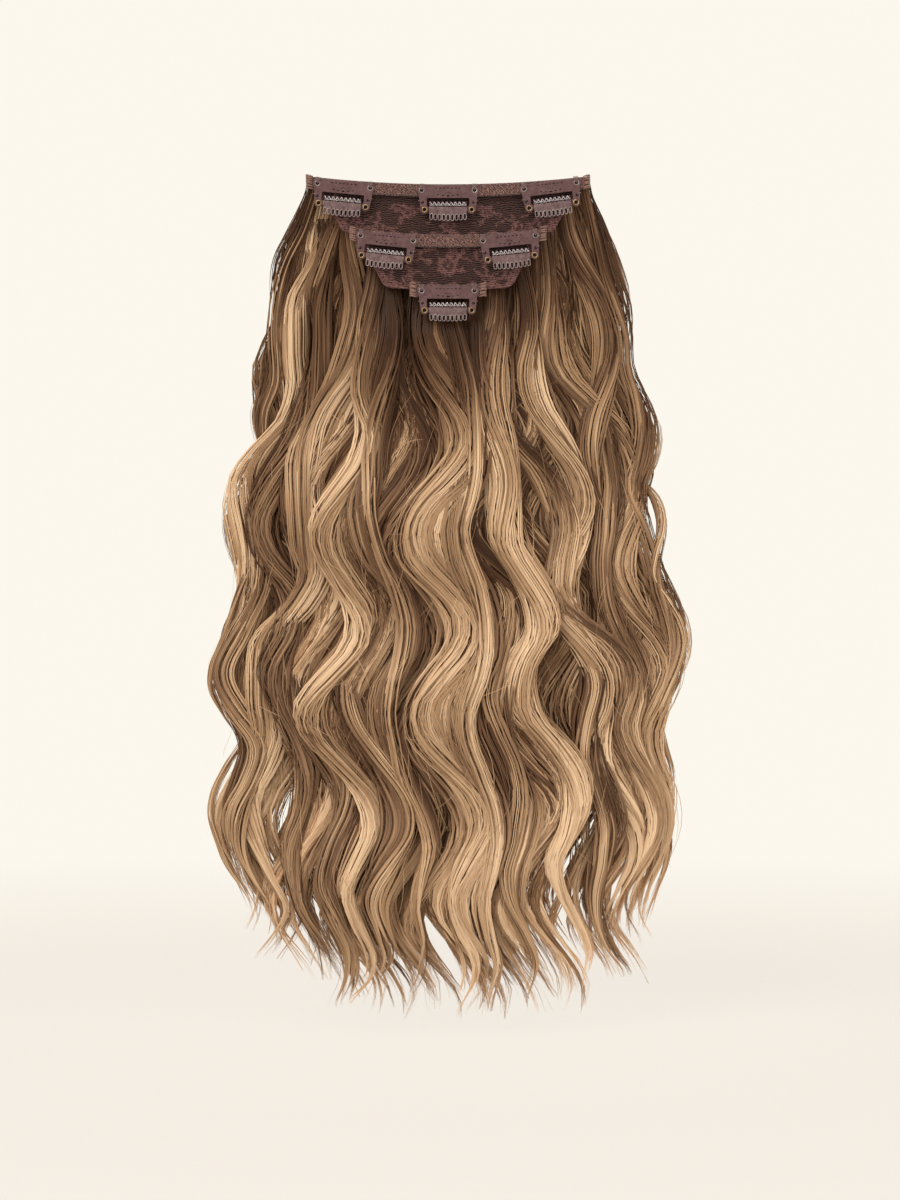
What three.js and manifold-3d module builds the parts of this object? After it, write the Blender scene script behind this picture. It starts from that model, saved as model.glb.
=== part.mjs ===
// A one-piece clip-in hair extension: three sewn bands, one below the other and each narrower than the
// one above, are joined by two lace panels. Six steel snap clips are sewn to the bands, and a tier of
// long wavy hair hangs from each band.
//
// Millimetres. X runs across the back of the head, +Z is up and -Y faces the head. The origin is the
// middle of the top band's head side, on the line where its clips are sewn.

import * as THREE from "three";
import { mergeVertices } from "three/addons/utils/BufferGeometryUtils.js";
import Module from "manifold-3d";

const wasm = await Module();
wasm.setup();

// Sewn bands
const TOP_BAND_WIDTH = 145;
const MIDDLE_BAND_WIDTH = 100;
const BOTTOM_BAND_WIDTH = 38;
const BAND_HEIGHT = 6.4;
const BAND_THICKNESS = 2.8;
const TOP_BAND_SAG = 4.2;
const MIDDLE_BAND_SAG = 3.4;
const BOTTOM_BAND_SAG = 0.4;
const MIDDLE_BAND_DROP = 26;
const BOTTOM_BAND_DROP = 51.8;
const BAND_STEPS = 6;

// Lace panels
const LACE_THICKNESS = 1;
const LACE_INSET = 3.5; // from a band's end to its lace, at each side
const UPPER_LACE_FOOT_WIDTH = 114;
const LOWER_LACE_FOOT_WIDTH = 71;
const LACE_CORNER = 7;
const CORNER_FOOT_ANGLE = -68; // where a corner's arc leaves the foot, in degrees from level
const CORNER_SIDE_ANGLE = -14;
const CORNER_STEPS = 3;
const LACE_TUCK = 2.4; // how far a panel reaches behind a band

// Snap clips. Drops are measured from the line through the ear holes, where the clip is sewn on.
const CLIP_WIDTH = 32;
const EAR_RADIUS = 2.4;
const EAR_END_ANGLE = -45; // where the ear's round edge meets the waist, in degrees from level
const EAR_STEPS = 3;
const EAR_HOLE_RADIUS = 0.8;
const PLATE_THICKNESS = 0.6;
const WAIST_WIDTH = 30;
const WAIST_DROP = 2.4;
const SEW_HOLE_RADIUS = 0.6;
const SEW_HOLE_SPACING = 26.4;
const SEW_HOLE_DROP = 6.4;
const EYELET_SPACING = 24.3;
const EYELET_DROP = 10.1;
const LEG_END_RADIUS = 2.1;
const LEG_END_STEPS = 4;
const WINDOW_WIDTH = 21.8;
const WINDOW_DROP = 4.1;
const EYELET_BORE_RADIUS = 0.7;
const EYELET_WALL = 0.3;
const EYELET_FLANGE_RADIUS = 1.6;
const EYELET_FLANGE_THICKNESS = 0.35;
const HOLE_SIDES = 5; // of round holes and pins
const EYELET_SIDES = 6;

// Comb of a snap clip
const COMB_THICKNESS = 0.5;
const COMB_TOP_DROP = 8.6;
const COMB_FOOT_DROP = 15.9;
const COMB_LOOPS = 9;
const SLOT_SHARE = 0.46; // of a loop's width
const SLOT_HEIGHT = 2.3;
const SCALLOP_DEPTH = 0.45;
const SCALLOP_FLAT = [0.25, 0.75]; // shares of a loop's width, between which its scallop is lowest
const COMB_ARCH = 0.6; // how much lower the comb's foot is at its middle than at its ends
const TOOTH_SHARE = 0.5; // of a loop's width
const TOOTH_TIP_DROP = 5.7;
const TOOTH_SETBACK = 0.6; // behind the frame's plate

// Hinge between the clip's frame and its comb
const PIVOT_SETBACK = 1; // behind the frame's plate
const PIN_RADIUS = 0.5;
const PIN_PLAY = 0.3;
const PIN_END = 0.3; // beyond its lug
const LUG_THICKNESS = 0.6;
const LUG_WALL = 0.5;

// Clearances between pieces that touch on the real thing
const SEAT_GAP = 0.3;
const SIDE_GAP = 0.3;
const FUSE = 0.25; // how far joined shapes are sunk into each other

// Hair
const HAIR_DROP = 426;
const HAIR_SPREAD = 250;
const HAIR_DEPTH = 36; // of the three tiers together
const FANNING = 2.8; // how early the locks fan out
const WAVE_LENGTH = 97;
const WAVE_SWAY = 14;
const WAVE_DEPTH = 3;
const WAVE_ONSET = 0.03; // share of a lock's length that is straight
const WAVE_GROWTH = 0.3; // share of a lock's length over which the wave grows
const FORWARD_SWING = 6;
const FREE_DROP = 104; // below the origin, where the hair starts to swing free of the head
const FREE_GROWTH = 145; // below that, until it swings fully
const ROOT_THICKNESS = 4;
const ROOT_LIFT = 2; // above the middle line of the band in front
const FILL_DROP = 90; // below its band, until a tier is at its full thickness
const TIER_GAP = 0.9;
const CURTAIN_STEPS = 14;
const LEVEL_SHARE = 0.33; // of a curtain's height, that still follows the curve of its band
const FORMED_SHARE = 0.25; // of a curtain's height, over which its locks stand out
const PARTING_SHARE = 0.75; // of a curtain's height, below which its grooves deepen
const PARTING = 14; // how much higher the grooves end than the locks between them
const GROOVE_SHARE = 0.55; // of a tier's thickness, left between two locks
const EDGE_SHARE = 0.3; // of a tier's thickness, left at its sides
const SHOULDER_SHARE = 0.27; // of a lock's width, from its middle to where it rounds off
const TIP_STEPS = 4;
const TIP_SHARE = 0.9; // of a lock's width and thickness, kept by its free end
const TIP_TAPER = 0.93; // of a free end's width, lost by its tip
const TIP_CURVE = 1.6; // how late a free end tapers

// Places along Y, from the head outwards
const BAND_FRONT = 0;
const BAND_BACK = BAND_FRONT + BAND_THICKNESS;
const PLATE_BACK = BAND_FRONT - SEAT_GAP;
const LACE_FRONT = BAND_BACK + SEAT_GAP;
const LACE_BACK = LACE_FRONT + LACE_THICKNESS;
const HAIR_FRONT = LACE_BACK + SEAT_GAP;

const COLOURS = {
  band: { color: 0x5c3a38, roughness: 0.85, metalness: 0 },
  lace: { color: 0x4c2f30, roughness: 0.9, metalness: 0 },
  clip: { color: 0x71595b, roughness: 0.42, metalness: 0.6 },
  comb: { color: 0x7b6365, roughness: 0.36, metalness: 0.7 },
  eyelet: { color: 0xa9824f, roughness: 0.35, metalness: 0.9 },
  hair: { color: 0xa5805a, roughness: 0.55, metalness: 0 },
};

function mesh(name, geometry, finish) {
  const made = new THREE.Mesh(geometry, new THREE.MeshStandardMaterial(COLOURS[finish]));
  made.name = name;
  return made;
}

// A geometry as a solid that can be joined or cut.
function solid(geometry) {
  const bare = geometry.index ? geometry.toNonIndexed() : geometry.clone();
  bare.deleteAttribute("normal");
  bare.deleteAttribute("uv");
  const merged = mergeVertices(bare, 1e-4);
  return new wasm.Manifold(
    new wasm.Mesh({
      numProp: 3,
      vertProperties: merged.attributes.position.array,
      triVerts: new Uint32Array(merged.index.array),
    }),
  );
}

function geometryOf(made) {
  const { numProp, vertProperties, triVerts, numVert } = made.getMesh();
  const position = new Float32Array(numVert * 3);
  for (let i = 0; i < numVert; i++) {
    position.set(vertProperties.subarray(i * numProp, i * numProp + 3), i * 3);
  }
  return new THREE.BufferGeometry()
    .setAttribute("position", new THREE.BufferAttribute(position, 3))
    .setIndex(new THREE.BufferAttribute(triVerts, 1));
}

function join(geometries) {
  return geometryOf(geometries.map(solid).reduce((whole, next) => whole.add(next)));
}

// A flat outline in the XZ plane, made `thick` deep from y = front backwards.
function plate(shape, front, thick, curveSegments = 1) {
  const geometry = new THREE.ExtrudeGeometry(shape, { depth: thick, bevelEnabled: false, curveSegments });
  return geometry.rotateX(Math.PI / 2).translate(0, front + thick, 0);
}

function box(x0, x1, y0, y1, z0, z1) {
  const geometry = new THREE.BoxGeometry(x1 - x0, y1 - y0, z1 - z0);
  return geometry.translate((x0 + x1) / 2, (y0 + y1) / 2, (z0 + z1) / 2);
}

function hole(x, z, radius, sides) {
  const path = new THREE.Path();
  for (let i = 0; i < sides; i++) {
    const turn = (2 * Math.PI * (i + 0.5)) / sides;
    const step = i ? "lineTo" : "moveTo";
    path[step](x + radius * Math.cos(turn), z + radius * Math.sin(turn));
  }
  path.closePath();
  return path;
}

// Points on an arc about a centre, from one angle to another in degrees.
function arc(x, z, radius, from, to, steps) {
  return Array.from({ length: steps + 1 }, (_, i) => {
    const turn = THREE.MathUtils.degToRad(from + ((to - from) * i) / steps);
    return new THREE.Vector2(x + radius * Math.cos(turn), z + radius * Math.sin(turn));
  });
}

// Height of a band's middle line above its lowest point. The ends curve up.
function arcRise(x, width, sag) {
  const radius = (width * width) / (8 * sag) + sag / 2;
  return radius - Math.sqrt(Math.max(radius * radius - x * x, 0));
}

function arcTilt(x, width, sag) {
  const radius = (width * width) / (8 * sag) + sag / 2;
  return Math.asin(x / radius);
}

const BANDS = {
  top: { width: TOP_BAND_WIDTH, sag: TOP_BAND_SAG, drop: 0 },
  middle: { width: MIDDLE_BAND_WIDTH, sag: MIDDLE_BAND_SAG, drop: MIDDLE_BAND_DROP },
  bottom: { width: BOTTOM_BAND_WIDTH, sag: BOTTOM_BAND_SAG, drop: BOTTOM_BAND_DROP },
};

function bandLine(tier, x) {
  const { width, sag, drop } = BANDS[tier];
  return arcRise(x, width, sag) - drop;
}

function across(width, steps) {
  return Array.from({ length: steps + 1 }, (_, i) => width * (i / steps - 0.5));
}

function band(tier) {
  const stations = across(BANDS[tier].width, BAND_STEPS);
  const edge = (x, side) => new THREE.Vector2(x, bandLine(tier, x) + (side * BAND_HEIGHT) / 2);
  const outline = [...stations.map((x) => edge(x, -1)), ...stations.reverse().map((x) => edge(x, 1))];
  return mesh(`${tier}_band`, plate(new THREE.Shape(outline), BAND_FRONT, BAND_THICKNESS), "band");
}

// A panel hangs from behind one band down to behind the next. Its sides slope in and its lower corners
// are round.
function lacePanel(name, upper, lower, footWidth) {
  const topWidth = BANDS[upper].width - 2 * LACE_INSET;
  const topLine = (x) => bandLine(upper, x) - BAND_HEIGHT / 2 + LACE_TUCK;
  const footLine = (x) => bandLine(lower, x) + BAND_HEIGHT / 2 - LACE_TUCK;
  const top = across(topWidth, BAND_STEPS).map((x) => new THREE.Vector2(x, topLine(x)));
  const flat = footWidth / 2 - LACE_CORNER;
  const foot = across(2 * flat, BAND_STEPS).map((x) => new THREE.Vector2(x, footLine(x)));
  const centre = footLine(flat) + LACE_CORNER;
  const corner = arc(flat, centre, LACE_CORNER, CORNER_FOOT_ANGLE, CORNER_SIDE_ANGLE, CORNER_STEPS);
  const mirrored = corner.map((p) => new THREE.Vector2(-p.x, p.y)).reverse();
  const outline = [...mirrored, ...foot, ...corner, ...top.reverse()];
  return mesh(name, plate(new THREE.Shape(outline), LACE_FRONT, LACE_THICKNESS), "lace");
}

const EYELET_BARREL_RADIUS = EYELET_BORE_RADIUS + EYELET_WALL;
const LEG_INNER = EYELET_SPACING / 2 - LEG_END_RADIUS;
const COMB_HALF = LEG_INNER - SIDE_GAP;
const LOOP_PITCH = (2 * COMB_HALF) / COMB_LOOPS;

// The clip is made about the middle of its sewing line, with the back of its plate at y = 0.
function clipFrame() {
  const ear = CLIP_WIDTH / 2 - EAR_RADIUS;
  const eyelet = EYELET_SPACING / 2;
  const right = [
    ...arc(ear, 0, EAR_RADIUS, 90, EAR_END_ANGLE, EAR_STEPS),
    new THREE.Vector2(WAIST_WIDTH / 2, -WAIST_DROP),
    ...arc(eyelet, -EYELET_DROP, LEG_END_RADIUS, 0, -180, LEG_END_STEPS),
    new THREE.Vector2(LEG_INNER, -COMB_TOP_DROP - SIDE_GAP),
    new THREE.Vector2(WINDOW_WIDTH / 2, -COMB_TOP_DROP + SIDE_GAP),
    new THREE.Vector2(WINDOW_WIDTH / 2, -WINDOW_DROP),
  ];
  const left = right.map((p) => new THREE.Vector2(-p.x, p.y)).reverse();
  const shape = new THREE.Shape([...right, ...left]);
  for (const side of [-1, 1]) {
    shape.holes.push(hole(side * ear, 0, EAR_HOLE_RADIUS, HOLE_SIDES));
    shape.holes.push(hole((side * SEW_HOLE_SPACING) / 2, -SEW_HOLE_DROP, SEW_HOLE_RADIUS, HOLE_SIDES));
    shape.holes.push(hole(side * eyelet, -EYELET_DROP, EYELET_BARREL_RADIUS + SIDE_GAP, EYELET_SIDES));
  }
  return join([plate(shape, -PLATE_THICKNESS, PLATE_THICKNESS), hingeLug(-1), hingeLug(1)]);
}

// A lug folded back from the inner edge of a leg, with a hole for the comb's pin.
function hingeLug(side) {
  const half = PIN_RADIUS + PIN_PLAY + LUG_WALL;
  const lug = new THREE.Shape([
    new THREE.Vector2(-FUSE, -half),
    new THREE.Vector2(PIVOT_SETBACK + half, -half),
    new THREE.Vector2(PIVOT_SETBACK + half, half),
    new THREE.Vector2(-FUSE, half),
  ]);
  lug.holes.push(hole(PIVOT_SETBACK, 0, PIN_RADIUS + PIN_PLAY, HOLE_SIDES));
  const geometry = new THREE.ExtrudeGeometry(lug, { depth: LUG_THICKNESS, bevelEnabled: false });
  geometry.rotateX(Math.PI / 2).rotateZ(Math.PI / 2);
  const middle = side * (LEG_INNER + LUG_THICKNESS / 2);
  return geometry.translate(middle - LUG_THICKNESS / 2, 0, -EYELET_DROP);
}

function clipComb() {
  const shape = new THREE.Shape(combOutline());
  for (let i = 0; i < COMB_LOOPS; i++) {
    shape.holes.push(loopSlot((i + 0.5) * LOOP_PITCH - COMB_HALF));
  }
  const front = -(PLATE_THICKNESS + COMB_THICKNESS) / 2;
  const bendHalf = COMB_HALF - SIDE_GAP;
  const bendFoot = combFoot(COMB_HALF) + SCALLOP_DEPTH;
  const bendLow = bendFoot + FUSE / 2;
  return join([
    plate(shape, front, COMB_THICKNESS),
    teeth(bendFoot + FUSE),
    box(-bendHalf, bendHalf, front + FUSE, TOOTH_SETBACK + FUSE, bendLow, bendFoot + COMB_THICKNESS),
    ...hingePin(-1),
    ...hingePin(1),
  ]);
}

// The height of the comb's arched foot.
function combFoot(x) {
  return -COMB_FOOT_DROP + COMB_ARCH * (x / COMB_HALF) ** 2;
}

function combOutline() {
  const outline = [1, -1].map((side) => new THREE.Vector2(side * COMB_HALF, -COMB_TOP_DROP));
  for (let i = 0; i <= COMB_LOOPS; i++) {
    const x = i * LOOP_PITCH - COMB_HALF;
    outline.push(new THREE.Vector2(x, combFoot(x) + SCALLOP_DEPTH));
    for (const share of i < COMB_LOOPS ? SCALLOP_FLAT : []) {
      outline.push(new THREE.Vector2(x + share * LOOP_PITCH, combFoot(x + LOOP_PITCH / 2)));
    }
  }
  return outline;
}

function loopSlot(x) {
  const low = combFoot(COMB_HALF) + SCALLOP_DEPTH + COMB_THICKNESS + FUSE / 2;
  const high = low + SLOT_HEIGHT;
  const half = (SLOT_SHARE * LOOP_PITCH) / 2;
  return new THREE.Path([
    new THREE.Vector2(x - half, low + half),
    new THREE.Vector2(x, low),
    new THREE.Vector2(x + half, low + half),
    new THREE.Vector2(x + half, high),
    new THREE.Vector2(x - half, high),
  ]);
}

// The teeth rise behind the comb's front, one behind each bar between its slots, from the bend at its
// foot to their tips in the frame's window.
function teeth(foot) {
  const root = foot + COMB_THICKNESS;
  const half = (TOOTH_SHARE * LOOP_PITCH) / 2;
  const reach = COMB_HALF - SIDE_GAP - half;
  const outline = [new THREE.Vector2(-reach - half, foot)];
  for (let i = 0; i <= COMB_LOOPS; i++) {
    const x = THREE.MathUtils.clamp(i * LOOP_PITCH - COMB_HALF, -reach, reach);
    outline.push(new THREE.Vector2(x - half, root));
    outline.push(new THREE.Vector2(x, -TOOTH_TIP_DROP));
    outline.push(new THREE.Vector2(x + half, root));
  }
  outline.push(new THREE.Vector2(reach + half, foot));
  return plate(new THREE.Shape(outline), TOOTH_SETBACK, COMB_THICKNESS);
}

// A cheek folded back from the comb's side, and the pin on it that turns in the frame's lug.
function hingePin(side) {
  const half = PIN_RADIUS + LUG_WALL;
  const middle = side * (COMB_HALF - LUG_THICKNESS / 2);
  const left = middle - LUG_THICKNESS / 2;
  const back = PIVOT_SETBACK + half;
  const front = -PLATE_THICKNESS / 2;
  const foot = -EYELET_DROP - half;
  const cheek = box(left, left + LUG_THICKNESS, front, back, foot, foot + 2 * half);
  const length = LUG_THICKNESS / 2 + SIDE_GAP + LUG_THICKNESS + PIN_END;
  const pin = new THREE.CylinderGeometry(PIN_RADIUS, PIN_RADIUS, length, HOLE_SIDES).rotateZ(Math.PI / 2);
  return [cheek, pin.translate(middle + (side * length) / 2, PIVOT_SETBACK, -EYELET_DROP)];
}

// An eyelet: a tube through the leg's hole with a low cone of a flange on the side that shows.
function eyelet() {
  const seat = PLATE_THICKNESS + SEAT_GAP;
  const profile = [
    [EYELET_BORE_RADIUS, 0],
    [EYELET_BARREL_RADIUS, 0],
    [EYELET_BARREL_RADIUS, seat],
    [EYELET_FLANGE_RADIUS, seat],
    [EYELET_BORE_RADIUS, seat + EYELET_FLANGE_THICKNESS],
    [EYELET_BORE_RADIUS, 0],
  ].map(([radius, height]) => new THREE.Vector2(radius, height));
  return new THREE.LatheGeometry(profile, EYELET_SIDES).rotateX(Math.PI);
}

// Clips. place: the middle of the clip as a share of its band's half width. turn: degrees beyond the
// band's own tilt.
const CLIP_COLUMNS = ["name", "tier", "place", "turn"];
const CLIPS = [
  ["top_left_clip", "top", -0.74, 0.3],
  ["top_middle_clip", "top", 0, 0],
  ["top_right_clip", "top", 0.725, 2.4],
  ["middle_left_clip", "middle", -0.63, 0.8],
  ["middle_right_clip", "middle", 0.63, 1],
  ["bottom_clip", "bottom", 0, 0],
];

function clip({ name, tier, place, turn }) {
  const { width, sag } = BANDS[tier];
  const x = (place * width) / 2;
  const group = new THREE.Group();
  group.position.set(x, PLATE_BACK, bandLine(tier, x));
  group.rotation.y = -arcTilt(x, width, sag) - THREE.MathUtils.degToRad(Math.sign(place) * turn);
  group.add(mesh(`${name}_frame`, clipFrame(), "clip"));
  group.add(mesh(`${name}_comb`, clipComb(), "comb"));
  for (const [side, sign] of Object.entries({ left: -1, right: 1 })) {
    const ring = mesh(`${name}_${side}_eyelet`, eyelet(), "eyelet");
    ring.position.set((sign * EYELET_SPACING) / 2, 0, -EYELET_DROP);
    group.add(ring);
  }
  return group;
}

// Locks of hair, from left to right, evenly spaced along their band. fan: where the lock's middle line
// ends, as a share of half HAIR_SPREAD. drop: how low its tip is, as a share of HAIR_DROP. crest: where
// its wave swings furthest right, in wavelengths below the origin. wave and sway: shares of WAVE_LENGTH
// and WAVE_SWAY. out: how far it stands forward, as a share of its tier's thickness.
const LOCK_COLUMNS = ["fan", "drop", "crest", "wave", "sway", "out"];
const LOCKS = {
  top: [
    [-0.85, 0.89, 1.34, 0.84, 0.55, 0.1],
    [-0.72, 0.94, 1.22, 0.92, 0.7, -0.1],
    [-0.48, 0.93, 1.1, 1.04, 0.8, 0.12],
    [-0.24, 0.95, 1.15, 1.04, 0.8, -0.05],
    [0, 0.97, 1.3, 1, 0.7, 0.08],
    [0.22, 0.96, 1.28, 1.02, 0.7, -0.1],
    [0.44, 0.94, 1.2, 1.04, 0.8, 0.12],
    [0.7, 0.945, 1.24, 1.05, 0.7, -0.08],
    [0.83, 0.9, 1.3, 1.06, 0.6, 0.1],
  ],
  middle: [
    [-0.6, 0.95, 1.08, 1.07, 0.8, 0.12],
    [-0.3, 0.975, 1.1, 1.08, 0.9, -0.1],
    [0, 0.98, 1.3, 1, 0.8, 0],
    [0.33, 0.975, 1.3, 1.02, 0.8, -0.1],
    [0.68, 0.955, 1.2, 1.04, 0.8, 0.12],
  ],
  bottom: [
    [-0.36, 0.985, 1.25, 0.98, 0.8, -0.08],
    [-0.08, 1, 1.38, 0.98, 1, 0.12],
    [0.16, 0.995, 1.24, 1.05, 0.9, -0.08],
    [0.42, 0.985, 1.16, 1.05, 0.9, 0.1],
  ],
};

// Tiers, each with the one that hangs in front of it. thick: its thickness, as a share of HAIR_DEPTH.
// part: how far down its locks part, as a share of HAIR_DROP.
const TIERS = {
  top: { next: "middle", thick: 0.36, part: 0.76 },
  middle: { next: "bottom", thick: 0.33, part: 0.8 },
  bottom: { next: null, thick: 0.31, part: 0.83 },
};

function smooth(t) {
  const u = THREE.MathUtils.clamp(t, 0, 1);
  return u * u * (3 - 2 * u);
}

function lockRows(tier) {
  const rows = LOCKS[tier];
  return rows.map((row, k) => ({
    rootX: (BANDS[tier].width / 2) * ((2 * k + 1) / rows.length - 1),
    ...Object.fromEntries(LOCK_COLUMNS.map((name, i) => [name, row[i]])),
  }));
}

// The middle line of a lock, sideways, at a height z.
function lockX(row, z) {
  const t = THREE.MathUtils.clamp(-z / (row.drop * HAIR_DROP), 0, 1);
  const opened = 1 - (1 - t) ** FANNING;
  const grown = smooth((t - WAVE_ONSET) / WAVE_GROWTH);
  const phase = (2 * Math.PI * (-z / WAVE_LENGTH - row.crest)) / row.wave;
  const fanned = ((row.fan * HAIR_SPREAD) / 2 - row.rootX) * opened;
  return row.rootX + fanned + row.sway * WAVE_SWAY * grown * Math.cos(phase);
}

function tierThickness(tier, z) {
  const below = -z - BANDS[tier].drop;
  return ROOT_THICKNESS + (TIERS[tier].thick * HAIR_DEPTH - ROOT_THICKNESS) * smooth(below / FILL_DROP);
}

// The front of a tier at a height z: against the lace at first, then clear of the tier in front of it.
function tierFront(tier, z) {
  const { next } = TIERS[tier];
  if (!next) {
    return HAIR_FRONT;
  }
  const room = BANDS[next].drop - BANDS[tier].drop - BAND_HEIGHT;
  const settled = smooth((-z - BANDS[tier].drop) / room);
  return HAIR_FRONT + settled * (tierFront(next, z) + tierThickness(next, z) + TIER_GAP - HAIR_FRONT);
}

// How far back the middle of a tier lies, and how thick it is, at a height z.
function tierDepth(tier, z) {
  const thick = tierThickness(tier, z);
  const free = smooth((-z - FREE_DROP) / FREE_GROWTH);
  const swing = WAVE_DEPTH * Math.sin((-2 * Math.PI * z) / WAVE_LENGTH) - FORWARD_SWING;
  return { middle: tierFront(tier, z) + thick / 2 + free * swing, thick };
}

// Half the width of a tier's outer locks.
function edgeHalf(centres) {
  return (centres[centres.length - 1] - centres[0]) / (centres.length - 1) / 2;
}

// The points across a tier at a height z: a groove at each side of a lock, and two shoulders between
// them. thick: the share of the tier's thickness there. parts: whether the point is lifted where the
// locks part.
function stationsAcross(tier, z) {
  const rows = lockRows(tier);
  const { width } = BANDS[tier];
  const centres = rows.map((row) => lockX(row, z));
  const half = edgeHalf(centres);
  const around = [centres[0] - 2 * half, ...centres, centres[centres.length - 1] + 2 * half];
  const outs = [rows[0].out, ...rows.map((row) => row.out), rows[rows.length - 1].out];
  const grooves = Array.from({ length: rows.length + 1 }, (_, k) => ({
    x: (around[k] + around[k + 1]) / 2,
    rootX: width * (k / rows.length - 0.5),
    out: (outs[k] + outs[k + 1]) / 2,
    thick: k % rows.length ? GROOVE_SHARE : EDGE_SHARE,
    parts: true,
  }));
  const shoulder = (row, k, side) => ({
    x: centres[k] + side * SHOULDER_SHARE * (grooves[k + 1].x - grooves[k].x),
    rootX: row.rootX + (side * SHOULDER_SHARE * width) / rows.length,
    out: row.out,
    thick: 1 - 2 * Math.abs(row.out),
    parts: false,
  });
  const locks = rows.flatMap((row, k) => [grooves[k], shoulder(row, k, -1), shoulder(row, k, 1)]);
  return [...locks, grooves[rows.length]];
}

// A tier's cross-section, a share s of the way down to where its locks part: its front from left to
// right, then its back from right to left.
function tierSection(tier, s) {
  const { drop } = BANDS[tier];
  const top = ROOT_LIFT - drop;
  const z = top + (-TIERS[tier].part * HAIR_DROP - top) * s;
  const { middle, thick } = tierDepth(tier, z);
  const formed = smooth(s / FORMED_SHARE);
  const bowed = 1 - smooth(s / LEVEL_SHARE);
  const parted = PARTING * smooth((s - PARTING_SHARE) / (1 - PARTING_SHARE));
  const point = (station, side) => {
    const half = (thick / 2) * (1 - (1 - station.thick) * formed);
    const lift = bowed * (bandLine(tier, station.rootX) + drop) + (station.parts ? parted : 0);
    return [station.x, middle - station.out * thick * formed + side * half, z + lift];
  };
  const stations = stationsAcross(tier, z);
  return [...stations.map((each) => point(each, -1)), ...stations.reverse().map((each) => point(each, 1))];
}

// The curtain of a tier: its locks side by side, down to where they part.
function curtain(tier) {
  const shares = Array.from({ length: CURTAIN_STEPS + 1 }, (_, i) => i / CURTAIN_STEPS);
  const rings = shares.map((s) => tierSection(tier, s));
  const last = rings[0].length - 1;
  const strips = Array.from({ length: (last - 1) / 2 }, (_, i) => [
    [i, i + 1, last - 1 - i],
    [i, last - 1 - i, last - i],
  ]);
  return loft(rings, strips.flat());
}

// The free end of a lock, from inside the curtain to its tip.
function lockTip(tier, k) {
  const rows = lockRows(tier);
  const row = rows[k];
  const from = -TIERS[tier].part * HAIR_DROP + PARTING;
  const to = -row.drop * HAIR_DROP;
  const half = TIP_SHARE * edgeHalf(rows.map((each) => lockX(each, from)));
  const rings = Array.from({ length: TIP_STEPS + 1 }, (_, i) => {
    const t = i / TIP_STEPS;
    const z = from + (to - from) * t;
    const { middle, thick } = tierDepth(tier, z);
    const deep = (TIP_SHARE * thick * (1 - 2 * Math.abs(row.out))) / 2;
    const left = 1 - TIP_TAPER * t ** TIP_CURVE;
    return tipRing(lockX(row, z), middle - row.out * thick, z, half * left, deep * left);
  });
  const last = rings[0].length - 1;
  return loft(rings, Array.from({ length: last - 1 }, (_, i) => [0, i + 1, i + 2]));
}

function tipRing(x, y, z, half, deep) {
  const shoulder = 2 * SHOULDER_SHARE * half;
  return [
    [x - half, y, z],
    [x - shoulder, y - deep, z],
    [x + shoulder, y - deep, z],
    [x + half, y, z],
    [x + shoulder, y + deep, z],
    [x - shoulder, y + deep, z],
  ];
}

// A closed skin over rings of points that run downwards, anticlockwise seen from above. cap: a ring's
// own triangles.
function loft(rings, cap) {
  const sides = rings[0].length;
  const faces = [];
  for (let i = 0; i + 1 < rings.length; i++) {
    for (let k = 0; k < sides; k++) {
      const a = i * sides + k;
      const b = i * sides + ((k + 1) % sides);
      faces.push(a, a + sides, b, b, a + sides, b + sides);
    }
  }
  const last = (rings.length - 1) * sides;
  for (const [a, b, c] of cap) {
    faces.push(a, b, c, last + a, last + c, last + b);
  }
  const geometry = new THREE.BufferGeometry();
  geometry.setAttribute("position", new THREE.Float32BufferAttribute(rings.flat(2), 3));
  return geometry.setIndex(faces);
}

function hairTier(tier) {
  const tips = LOCKS[tier].map((_, k) => lockTip(tier, k));
  return mesh(`${tier}_hair`, join([curtain(tier), ...tips]), "hair");
}

const extension = new THREE.Group();
for (const tier of Object.keys(BANDS)) {
  extension.add(band(tier));
  extension.add(hairTier(tier));
}
extension.add(lacePanel("upper_lace", "top", "middle", UPPER_LACE_FOOT_WIDTH));
extension.add(lacePanel("lower_lace", "middle", "bottom", LOWER_LACE_FOOT_WIDTH));
for (const row of CLIPS) {
  extension.add(clip(Object.fromEntries(CLIP_COLUMNS.map((name, i) => [name, row[i]]))));
}

export default extension;
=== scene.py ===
import math

import bpy
import numpy as np
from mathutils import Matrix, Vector


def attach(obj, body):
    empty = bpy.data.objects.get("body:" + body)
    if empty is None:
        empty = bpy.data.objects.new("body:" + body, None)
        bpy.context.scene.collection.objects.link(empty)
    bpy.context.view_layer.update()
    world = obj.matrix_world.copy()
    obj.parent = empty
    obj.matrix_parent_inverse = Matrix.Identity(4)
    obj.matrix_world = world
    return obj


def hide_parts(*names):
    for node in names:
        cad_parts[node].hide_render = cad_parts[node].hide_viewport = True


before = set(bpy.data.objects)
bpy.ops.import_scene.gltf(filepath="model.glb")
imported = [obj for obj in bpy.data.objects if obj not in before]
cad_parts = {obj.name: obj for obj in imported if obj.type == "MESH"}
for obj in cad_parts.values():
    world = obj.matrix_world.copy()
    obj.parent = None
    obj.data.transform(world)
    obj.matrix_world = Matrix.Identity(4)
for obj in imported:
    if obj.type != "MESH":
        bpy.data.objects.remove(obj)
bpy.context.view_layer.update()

MM = 0.001
rng = np.random.default_rng(41)
scene = bpy.context.scene

# Bands, as in the solids: width, sag, drop below the origin, all in mm
BANDS = {"top": (145, 4.2, 0), "middle": (100, 3.4, 26), "bottom": (38, 0.4, 51.8)}
BAND_HEIGHT, BAND_THICKNESS = 6.4, 2.8
LACE_FRONT, LACE_THICKNESS = 3.1, 0.9
HAIR_FRONT = 4.4
PLATE_BACK = -0.3

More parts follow.
